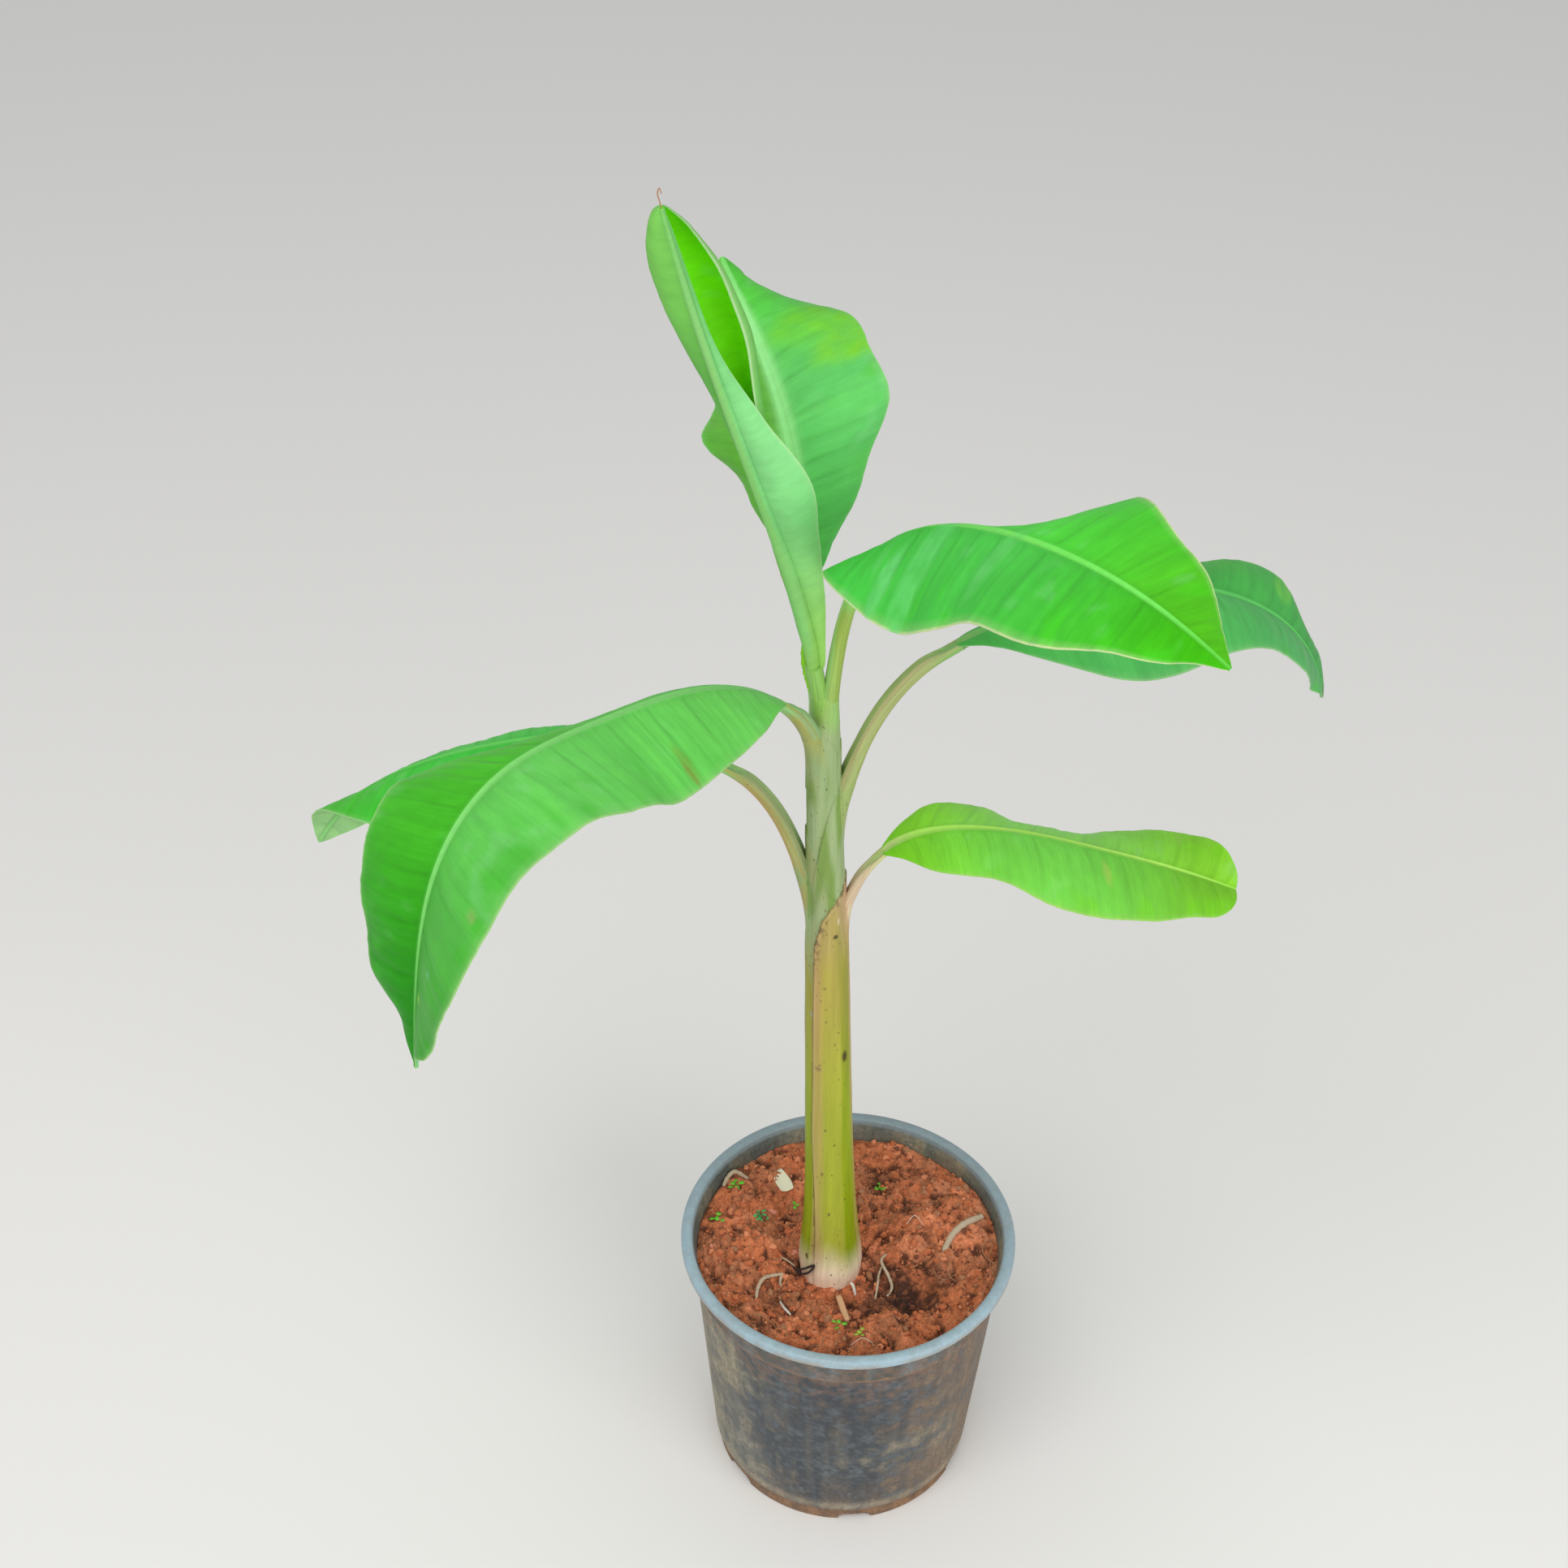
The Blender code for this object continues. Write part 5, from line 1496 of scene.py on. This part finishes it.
def soil_top(x, y, settings):
    """Soil's real surface, and what its colours go by."""
    spots = np.stack([x, y, 0 * x], -1)
    bend = 0.6 * settings.clod * cloud(spots, settings.clod * 0.8, 31)
    large, kind = lumps(x + bend, y - 0.7 * bend, settings.clod, 2.5)
    small, small_kind = lumps(x - 0.4 * bend, y + 0.3 * bend, settings.clod * 0.3, 8.5)
    swell = cloud(spots, 0.03, 11)
    medium = cloud(spots, 0.013, 14)
    rough = cloud(spots, 0.006, 13)
    grit = cloud(spots, 0.0026, 12)
    wet_and_shade = moisture(x, y)
    relief = 4.6 * MM * (np.sqrt(large) - 0.55) * (0.2 + 0.8 * kind) - 5 * MM * wet_and_shade
    relief = relief + 2.2 * MM * (np.sqrt(small) - 0.5) * (0.3 + small_kind) + 2.4 * MM * swell
    relief = relief + 4.8 * MM * medium + 3.8 * MM * rough + 1.3 * MM * grit
    # hollows between and beside the clods, which soil_tones darkens as painted shade
    low = 0.8 * (0.35 - large) + 0.35 * (0.35 - small) - 0.8 * medium - 0.5 * rough + 0.5 * wet_and_shade
    low = np.clip(low - 0.06, 0, 1)
    at_stem = np.exp(-(((from_stem(x, y) - 0.024) / 0.006) ** 2))
    relief = relief + 2.6 * MM * at_stem
    away = inner_radius(SOIL_EDGE) - np.hypot(x, y)
    relief = relief * step(-0.002, 0.006, away) + 1.2 * MM * (1 - step(0.0, 0.008, away))
    return soil_height(x, y) + relief, low, kind, small_kind


def moisture(x, y):
    """How moist and how shaded the soil is, 0..1: the moist places are hollows too, and their
    darkness is moisture and painted shade.
    """
    wet_and_shade = np.zeros_like(x)
    for px, py, spread, strength in MOIST_AND_SHADE:
        away = (x - px * MM) ** 2 + (y - py * MM) ** 2
        wet_and_shade = wet_and_shade + strength * np.exp(-away / (spread * MM) ** 2)
    return np.clip(wet_and_shade, 0, 1)


def soil_tones(x, y, low, kind, small_kind, settings):
    """Colours of the clods: red, orange where loose and as a painted pool of light on the right
    plateau, dark as moisture and painted shade in the hollows and round the stem.
    """
    red, bright, dark = (tuple(getattr(settings, key)) for key in ("red", "bright", "dark"))
    # painted pool of light on the raised plateau at the right
    painted_light_pool = np.exp(-((x - 0.085) ** 2 + (y - 0.02) ** 2) / 0.05**2)
    spots = np.stack([x, y, 0 * x], -1)
    drift = cloud(spots, 0.02, 15)
    fleck = cloud(spots, 0.0035, 16)
    tone = mix(red, bright, 0.2 + 0.6 * painted_light_pool + 0.4 * (kind - 0.5) + 0.5 * drift + 0.3 * fleck)
    brown = 0.5 * step(0.0, 0.5, 0.6 * kind - drift) + 0.25 * (small_kind > 0.8)
    tone = mix(tone, linear("#9c6a4c"), brown)
    # moist places and hollows are darkened as moisture and painted shade, near black where
    # strongest
    wet_and_shade = np.clip(moisture(x, y) * (1 + 0.6 * drift + 0.5 * fleck), 0, 1)
    tone = mix(tone, dark, np.clip(1.6 * low + 0.6 * wet_and_shade, 0, 0.9))
    return mix(tone, linear("#2e2626"), np.clip(1.1 * (wet_and_shade - 0.5), 0, 0.7))


def make_soil(settings, soil):
    """Soil filling with its lumpy top, reaching down inside the pot."""
    sides, rings = settings.sides, settings.rings
    turn = np.linspace(0, 2 * np.pi, sides, endpoint=False)[None, :]
    share = np.linspace(0, 1, rings)[:, None]
    under_stem = 16 * MM
    seat_x = STEM_X + under_stem * np.cos(turn)
    seat_y = STEM_Y + under_stem * np.sin(turn)
    edge = inner_radius(SOIL_EDGE) - 0.2 * MM
    x = seat_x + (edge * np.cos(turn) - seat_x) * share
    y = seat_y + (edge * np.sin(turn) - seat_y) * share
    top, low, kind, small_kind = soil_top(x, y, settings)
    tone = soil_tones(x, y, low, kind, small_kind, settings)
    points = np.stack([x, y, top], -1).reshape(-1, 3)
    reach = inner_radius(FLOOR) - 1 * MM
    skirt = np.stack([
        reach * np.cos(turn[0]), reach * np.sin(turn[0]), np.full(sides, FLOOR + 0.1 * MM),
    ], -1)
    points = np.concatenate([points, skirt])
    faces = [face[::-1] for face in capped_faces(rings + 1, sides)]
    dark = np.tile(np.array(tuple(settings.dark)), (sides, 1))
    piece = new_mesh(
        "soil_filling", points, faces, [soil],
        tints={"tone": np.concatenate([tone.reshape(-1, 3), dark])}, sharp=80,
    )
    return settle(piece, "red_soil", "soil")


def ball(level):
    """Points and triangles of a unit ball: 20 faces, or 80 at level 1."""
    build = bmesh.new()
    bmesh.ops.create_icosphere(build, subdivisions=level + 1, radius=1)
    points = np.array([v.co[:] for v in build.verts])
    faces = np.array([[v.index for v in f.verts] for f in build.faces])
    build.free()
    return points, faces


def make_crumbs(settings, looks):
    """Loose crumbs and small clods scattered over the soil as one joined piece."""
    rng = np.random.default_rng(CRUMB_SEED)
    stones = np.array(PEBBLES) * MM
    # how many, the ball's level, smallest and biggest size; the pebbles have their own sizes
    groups = (
        (settings.crumbs, 0, 0.5 * MM, 1.3 * MM),
        (settings.crumbs // SMALL_PER_LARGE, 1, 1.4 * MM, 3.4 * MM),
        (len(stones), 1, 0, 0),
    )
    points, faces, slots, start = [], [], [], 0
    for count, level, small, big in groups:
        body, body_faces = ball(level)
        distance = inner_radius(SOIL_EDGE) * np.sqrt(rng.uniform(0.0, 1, count)) - 0.5 * MM
        turn = rng.uniform(0, 2 * np.pi, count)
        size = small + (big - small) * rng.power(0.55, count)
        x = np.minimum(distance, inner_radius(SOIL_EDGE) - size) * np.cos(turn)
        y = np.minimum(distance, inner_radius(SOIL_EDGE) - size) * np.sin(turn)
        if big == 0:
            x, y, size = stones.T
        clear = from_stem(x, y) > CLEAR_RADIUS + size
        x, y, size = x[clear], y[clear], size[clear]
        base, *_ = soil_top(x, y, settings)
        wet_and_shade = moisture(x, y)
        for i in range(len(x)):
            shape = body * rng.uniform(0.62, 1.2, 3)
            shape = shape * (1 + 0.16 * rng.standard_normal(len(body)))[:, None]
            spin = Matrix.Rotation(rng.uniform(0, 6.28), 3, rng.standard_normal(3))
            shape = shape @ np.array(spin) * size[i]
            points.append(shape + (x[i], y[i], base[i] + 0.15 * size[i]))
            faces.append(body_faces + start)
            start += len(body)
            kind = len(looks) - 1 if big == 0 else rng.choice(len(CRUMB_SHARES), p=CRUMB_SHARES)
            # large crumbs in the moist, shaded hollows turn dark: moisture and painted shade
            kind = DARK_CRUMB if big and wet_and_shade[i] > MOIST_SHADE_CRUMB else kind
            slots.append(np.full(len(body_faces), kind))
    piece = new_mesh(
        "soil_crumbs", np.concatenate(points), np.concatenate(faces), looks,
        slots=np.concatenate(slots), sharp=30,
    )
    return settle(piece, "red_soil")


# ---- litter on the soil ------------------------------------------------------------------
def on_soil(x, y, settings, above=0.0):
    """Point on the soil's real surface at x and y, both in mm."""
    top, *_ = soil_top(np.array([x * MM]), np.array([y * MM]), settings)
    return Vector((x * MM, y * MM, float(top[0]) + above * MM))


def tube(name, path, thickness, look, sides=8, taper=0.4):
    """Round strand along a path of points, thinner towards its ends."""
    path = np.array([tuple(p) for p in path])
    steps = 10 * (len(path) - 1)
    where = np.linspace(0, 1, steps + 1)
    centre = np.stack([smooth(path[:, i], where) for i in range(3)], -1)
    along = np.gradient(centre, axis=0)
    along /= np.linalg.norm(along, axis=1)[:, None]
    side = np.cross(along, (0.12, 0.21, 1.0))
    side /= np.linalg.norm(side, axis=1)[:, None]
    up = np.cross(side, along)
    turn = np.linspace(0, 2 * np.pi, sides, endpoint=False)
    radius = thickness / 2 * (1 - taper * np.abs(2 * where - 1) ** 3)
    radius = radius * (1 + 0.12 * ripple(where, 0.13, name))
    points = centre[:, None] + radius[:, None, None] * (
        np.cos(turn)[None, :, None] * side[:, None] + np.sin(turn)[None, :, None] * up[:, None]
    )
    faces = capped_faces(steps + 1, sides)
    return new_mesh(name, points.reshape(-1, 3), faces, [look], sharp=60)


# strands lying on the soil: name, colour of its finish, thickness, (x, y, height above) in mm,
# and how far the ends taper if not the usual share
STRANDS = (
    ("grey_root", "root", 5.4, ((74, -1, 0), (80, 9, 2), (90, 18, 3), (104, 28, 2)), 0.15),
    ("twisted_root_a", "root", 2.5, (
        (30, 0, 2), (26, -8, 5), (31, -20, 5), (34, -26, 4), (30, -35, 0))),
    ("twisted_root_b", "root", 1.9, ((27, -9, 4), (24, -18, 4), (23, -28, 3), (21, -39, 0))),
    ("left_root", "root", 3.1, (
        (-49, -20, 2), (-58, -22, 4), (-64, -27, 3), (-68, -34, 3), (-69, -44, 0))),
    ("left_root_fork", "root", 2.6, ((-50, -19, 2), (-51, -25, 3), (-50, -29, 0))),
    ("rear_root", "root", 3.6, ((-97, 57, 1), (-94, 64, 4), (-88, 69, 5), (-78, 68, 2))),
    ("white_root", "white_root", 2.0, ((-51, -43, 2), (-48, -53, 3), (-43, -61, 1))),
    ("foot_bit", "white_root", 2.4, ((2, -31, 5), (4, -33, 4), (6, -36, 2))),
    ("thin_root", "root", 1.4, ((-51, -3, 1), (-46, -6, 3), (-40, -10, 1))),
    ("dark_loop", "dark_thread", 1.7, (
        (-40, -16, 8), (-34, -25, 15), (-26, -31, 24), (-30, -30, 16), (-36, -23, 8),
        (-42, -12, 3))),
    ("hollow_thread", "dark_thread", 1.0, ((36, -48, 1), (35, -41, 4), (41, -38, 4), (48, -41, 2))),
    ("rim_rootlet_a", "rootlet", 0.6, (
        (106, 12, 1), (111, 2, 4), (108, -8, 2), (112, -20, 4), (106, -32, 1))),
    ("rim_rootlet_b", "rootlet", 0.5, (
        (100, 16, 2), (106, 8, 5), (103, -4, 2), (109, -14, 3), (104, -26, 1))),
    ("rim_rootlet_c", "rootlet", 0.5, (
        (108, -34, 1), (102, -44, 4), (99, -54, 2), (90, -62, 4), (84, -70, 1))),
    ("edge_rootlet_a", "rootlet", 0.5, ((66, -18, 4), (68, -26, 5), (74, -30, 3))),
    ("edge_rootlet_b", "rootlet", 0.5, ((78, -16, 4), (76, -25, 5), (82, -31, 2))),
    ("edge_rootlet_c", "rootlet", 0.4, ((70, -30, 4), (78, -27, 3), (84, -22, 5))),
    ("left_rootlet", "rootlet", 0.5, ((-76, -66, 1), (-66, -69, 4), (-58, -72, 3), (-54, -78, 1))),
    ("front_fibre_a", "white_root", 0.5, ((2, -92, 1), (10, -90, 4), (18, -92, 1))),
    ("front_fibre_b", "rootlet", 0.5, ((-30, -96, 1), (-22, -99, 4), (-14, -98, 1))),
    ("rear_stick", "root", 2.6, ((44, 109, 2), (50, 106, 4), (57, 102, 2))),
    ("plateau_fibre", "white_root", 0.5, ((46, 20, 3), (52, 24, 4), (59, 20, 3))),
)
# weed seedlings: x, y, how many leaves, leaf size in mm, colour of its finish
SEEDLINGS = (
    (-88, 57, 5, 4.4, "leaf"), (-67, 29, 9, 3.6, "blue_leaf"), (-101, 21, 4, 4.2, "leaf"),
    (-40, 45, 3, 3.4, "leaf"), (26, 66, 6, 3.0, "leaf"), (-7, -76, 4, 4.2, "leaf"),
    (9, -84, 4, 3.6, "pale_leaf"),
)
# small stones: x, y, radius in mm
PEBBLES = ((-58, 38, 4.2), (-83, 30, 2.4), (-40, 3, 2.8), (-104, -4, 2.2))
# a flat chip lies this far above the soil's surface under its middle
FLAKE_LIFT = 4 * MM
# dry thread on the youngest leaf: offsets from its tip in mm
TIP_THREAD = ((0, 0, 0), (-1, 0, 5), (-2, 0, 9), (-1, 0, 12), (0, 0, 9))
# margin that stands free where the youngest leaf leaves the stem: x, y, z in mm
FREE_MARGIN = ((-35, -12, 718), (-40, -12, 734), (-43.5, -12, 750), (-45, -12, 766))


def make_seedling(name, spot, leaves, size, look, seed):
    """Tiny weed: a cluster of round leaves, each on a thin stalk."""
    rng = random.Random(seed)
    points, faces = [], []
    for k in range(leaves):
        turn = 2.4 * k + seed
        out = Vector((math.cos(turn), math.sin(turn), 0))
        side = Vector((-out.y, out.x, 0))
        wide = size * rng.uniform(0.4, 0.56) * MM
        middle = spot + out * size * (0.35 + 0.42 * math.sqrt(k)) * MM
        middle.z += rng.uniform(1.5, 4.5) * MM
        tilt = Vector((rng.uniform(-0.3, 0.3), rng.uniform(-0.6, 0.1)))
        start = len(points)
        points.append(middle - Vector((0, 0, 0.12 * wide)))
        for j in range(12):
            angle = math.pi * j / 6
            x, y = wide * math.cos(angle), wide * math.sin(angle) * 0.85
            rise = x * (tilt.x * out.x + tilt.y * out.y) + y * (tilt.x * side.x + tilt.y * side.y)
            points.append(middle + out * x + side * y + Vector((0, 0, rise)))
        faces += [(start, start + 1 + j, start + 1 + (j + 1) % 12) for j in range(12)]
        low = len(points)
        points += [spot - side * 0.25 * MM, spot + side * 0.25 * MM]
        points += [middle + side * 0.2 * MM, middle - side * 0.2 * MM]
        faces.append((low, low + 1, low + 2, low + 3))
    piece = new_mesh(name, [tuple(p) for p in points], faces, [look], sharp=60)
    thicken(piece, 0.25 * MM)
    return piece


def make_flake(name, corners, thickness, look, settings, curl):
    """Flat chip lying on the soil, a little curled, with its outline given in mm."""
    rows, columns = 14, 9
    a, b, c, d = (Vector((x, y, 0)) for x, y in corners)
    points = []
    for i in range(rows):
        for j in range(columns):
            u, v = i / (rows - 1), j / (columns - 1)
            narrow = 0.5 + (v - 0.5) * (0.55 + 0.45 * math.sin(math.pi * (0.12 + 0.76 * u)))
            flat = a.lerp(b, u).lerp(d.lerp(c, u), narrow)
            rise = curl * (2 * v - 1) ** 2 + 0.35 * math.sin(5 * u + 3 * v)
            points.append((flat.x * MM, flat.y * MM, rise * MM))
    middle = sum((Vector((x, y)) for x, y in corners), Vector((0, 0))) / 4
    level = on_soil(middle.x, middle.y, settings).z
    points = [(x, y, z + level + FLAKE_LIFT) for x, y, z in points]
    piece = new_mesh(name, points, grid_faces(rows, columns), [look], sharp=60)
    thicken(piece, thickness * MM)
    return piece


# ---- stage -------------------------------------------------------------------------------
# half the floor's width, the sky's colour, and each light's width, place and aim in metres
FLOOR_HALF = 6.0
SKY = (0.95, 0.98, 1.0, 1)
KEY_LIGHT = (2.6, (-1.3, -1.9, 3.2), (0, 0, 0.6))
FILL_LIGHT = (2.4, (1.7, -2.4, 1.6), (0, 0, 0.4))


def make_light(name, power, size, place, aim):
    """Large soft square light that points at a spot."""
    data = bpy.data.lights.new(name, "AREA")
    data.size = size
    data.energy = power
    lamp = bpy.data.objects.new(name, data)
    lamp.location = place
    lamp.rotation_euler = (Vector(aim) - Vector(place)).to_track_quat("-Z", "Y").to_euler()
    bpy.context.scene.collection.objects.link(lamp)


# ---- operators ---------------------------------------------------------------------------
class BANANA_OT_pot(bpy.types.Operator):
    """Build the nursery pot"""

    bl_idname = "banana.pot"
    bl_label = "Pot"

    def execute(self, context):
        settings = context.scene.banana_pot
        make_pot(settings, make_pot_plastic())
        return {"FINISHED"}


class BANANA_OT_soil(bpy.types.Operator):
    """Build the soil filling and the loose crumbs on it"""

    bl_idname = "banana.soil"
    bl_label = "Soil"

    def execute(self, context):
        settings = context.scene.banana_soil
        make_soil(settings, make_red_soil())
        kinds = (
            ("red_soil_crumb", "#c06e46"), ("orange_soil_crumb", "#d88a62"),
            ("dark_soil_crumb", "#7d4a32"), ("brown_soil_crumb", "#a87352"),
            ("pink_pebble", "#d98e74"),
        )
        make_crumbs(settings, [make_plain(name, code, 0.95) for name, code in kinds])
        return {"FINISHED"}


class BANANA_OT_litter(bpy.types.Operator):
    """Build the roots, chips and seedlings that lie on the soil"""

    bl_idname = "banana.litter"
    bl_label = "Litter"

    def execute(self, context):
        settings = context.scene.banana_soil
        finishes = {
            "root": make_plain("dry_root", "#bba78d", 0.8),
            "white_root": make_plain("live_root", "#dcd3c6", 0.6),
            "rootlet": make_plain("red_rootlet", "#b98a66", 0.85),
            "dark_thread": make_plain("dark_fibre", "#2c2628", 0.7),
            "leaf": make_plain("seedling_leaf", "#6ccb34", 0.5),
            "blue_leaf": make_plain("waxy_seedling_leaf", "#5cb868", 0.5),
            "pale_leaf": make_plain("young_seedling_leaf", "#a5c944", 0.5),
            "chip": make_plain("dry_leaf_chip", "#e8e2c4", 0.75),
            "wood": make_plain("wood_chip", "#cfa078", 0.85),
        }
        for name, kind, thickness, path, *taper in STRANDS:
            spots = [on_soil(x, y, settings, above) for x, y, above in path]
            settle(tube(name, spots, thickness * MM, finishes[kind], 8, *taper), "red_soil")
        for k, (x, y, leaves, size, kind) in enumerate(SEEDLINGS):
            spot = on_soil(x, y, settings, 0.5)
            name = "seedling_" + str(k + 1)
            settle(make_seedling(name, spot, leaves, size, finishes[kind], k + 3), "leaf_blade")
        chip = make_flake(
            "dry_leaf_chip", ((-61, 79), (-53, 56), (-40, 60), (-50, 81)), 0.5, finishes["chip"],
            settings, 1.8,
        )
        settle(chip, "red_soil")
        wood = make_flake(
            "wood_chip", ((-10, -48), (-3, -71), (2, -69), (-5, -46)), 2.4, finishes["wood"],
            settings, 0.4,
        )
        settle(wood, "red_soil")
        return {"FINISHED"}


class BANANA_OT_stem(bpy.types.Operator):
    """Build the stem of rolled leaf sheaths"""

    bl_idname = "banana.stem"
    bl_label = "Stem"

    def execute(self, context):
        make_stem(context.scene.banana_stem, make_stem_skin())
        return {"FINISHED"}


class BANANA_OT_stalks(bpy.types.Operator):
    """Build the leaf stalks"""

    bl_idname = "banana.stalks"
    bl_label = "Leaf stalks"

    def execute(self, context):
        skin = make_stalk_skin()
        for leaf in LEAVES:
            make_stalk(leaf, context.scene.banana_stalks, skin)
        return {"FINISHED"}


class BANANA_OT_blades(bpy.types.Operator):
    """Build the leaf blades"""

    bl_idname = "banana.blades"
    bl_label = "Leaf blades"

    def execute(self, context):
        skin = make_leaf_skin()
        for leaf in LEAVES:
            make_blade(leaf, context.scene.banana_blades, skin)
        tip = Rail(LEAVES[-1]).points[-1] - (0, 0, 1 * MM)
        path = [tip + np.array(offset) * MM for offset in TIP_THREAD]
        dry = make_plain("dry_leaf_tip", "#a3744e", 0.7)
        settle(tube("leaf_7_tip_thread", path, 0.7 * MM, dry), "leaf_blade")
        path = np.array(FREE_MARGIN) * MM
        young = make_plain("young_leaf_margin", "#82c41c", 0.5)
        settle(tube("leaf_7_free_margin", path, 5 * MM, young, 12, 0.9), "leaf_blade")
        return {"FINISHED"}


class BANANA_OT_stage(bpy.types.Operator):
    """Set up the plain floor, the soft lights and the camera"""

    bl_idname = "banana.stage"
    bl_label = "Floor, lights and camera"

    def execute(self, context):
        settings = context.scene.banana_stage
        scene = context.scene
        corners = np.array(((-1, -1, 0), (1, -1, 0), (1, 1, 0), (-1, 1, 0))) * FLOOR_HALF
        floor = new_mesh("floor", corners, ((0, 1, 2, 3),), [make_floor_paint(settings)])
        world = bpy.data.worlds.new("soft_sky")
        world.use_nodes = True
        glow = world.node_tree.nodes["Background"].inputs
        glow["Color"].default_value = SKY
        glow["Strength"].default_value = settings.sky
        scene.world = world
        make_light("key_light", settings.key_power, *KEY_LIGHT)
        make_light("fill_light", settings.fill_power, *FILL_LIGHT)
        scene.view_settings.view_transform = "Standard"
        data = bpy.data.cameras.new("camera")
        data.sensor_width = 36
        data.sensor_fit = "HORIZONTAL"
        data.lens = settings.lens
        camera = bpy.data.objects.new("camera", data)
        place = (settings.camera_side, -settings.camera_back, settings.camera_height)
        tilt = Matrix.Rotation(math.pi / 2 - settings.look_down, 4, "X")
        camera.matrix_world = Matrix.Translation(place) @ tilt @ Matrix.Rotation(
            settings.camera_roll, 4, "Z"
        )
        scene.collection.objects.link(camera)
        scene.camera = camera
        return {"FINISHED"}


class BANANA_PT_panel(bpy.types.Panel):
    """Lists the parts of the plant with their settings"""

    bl_label = "Potted Banana Plant"
    bl_idname = "BANANA_PT_panel"
    bl_space_type = "VIEW_3D"
    bl_region_type = "UI"
    bl_category = "Banana Plant"

    def draw(self, context):
        for operator, settings in PARTS:
            box = self.layout.box()
            box.operator("banana." + operator)
            group = getattr(context.scene, settings)
            for key in group.bl_rna.properties.keys():
                if key not in ("rna_type", "name"):
                    box.prop(group, key)


# operator and the settings that it reads, in the order they run
PARTS = (
    ("pot", "banana_pot"),
    ("soil", "banana_soil"),
    ("litter", "banana_soil"),
    ("stem", "banana_stem"),
    ("stalks", "banana_stalks"),
    ("blades", "banana_blades"),
    ("stage", "banana_stage"),
)
SETTINGS = {
    "banana_pot": PotSettings,
    "banana_soil": SoilSettings,
    "banana_stem": StemSettings,
    "banana_stalks": StalkSettings,
    "banana_blades": BladeSettings,
    "banana_stage": StageSettings,
}
CLASSES = (
    *SETTINGS.values(), BANANA_OT_pot, BANANA_OT_soil, BANANA_OT_litter, BANANA_OT_stem,
    BANANA_OT_stalks, BANANA_OT_blades, BANANA_OT_stage, BANANA_PT_panel,
)


def register():
    for made in CLASSES:
        bpy.utils.register_class(made)
    for name, made in SETTINGS.items():
        setattr(bpy.types.Scene, name, PointerProperty(type=made))


def unregister():
    for name in SETTINGS:
        delattr(bpy.types.Scene, name)
    for made in reversed(CLASSES):
        bpy.utils.unregister_class(made)


def main():
    register()
    for operator, _ in PARTS:
        getattr(bpy.ops.banana, operator)()
    bpy.context.view_layer.update()


if __name__ == "__main__":
    main()
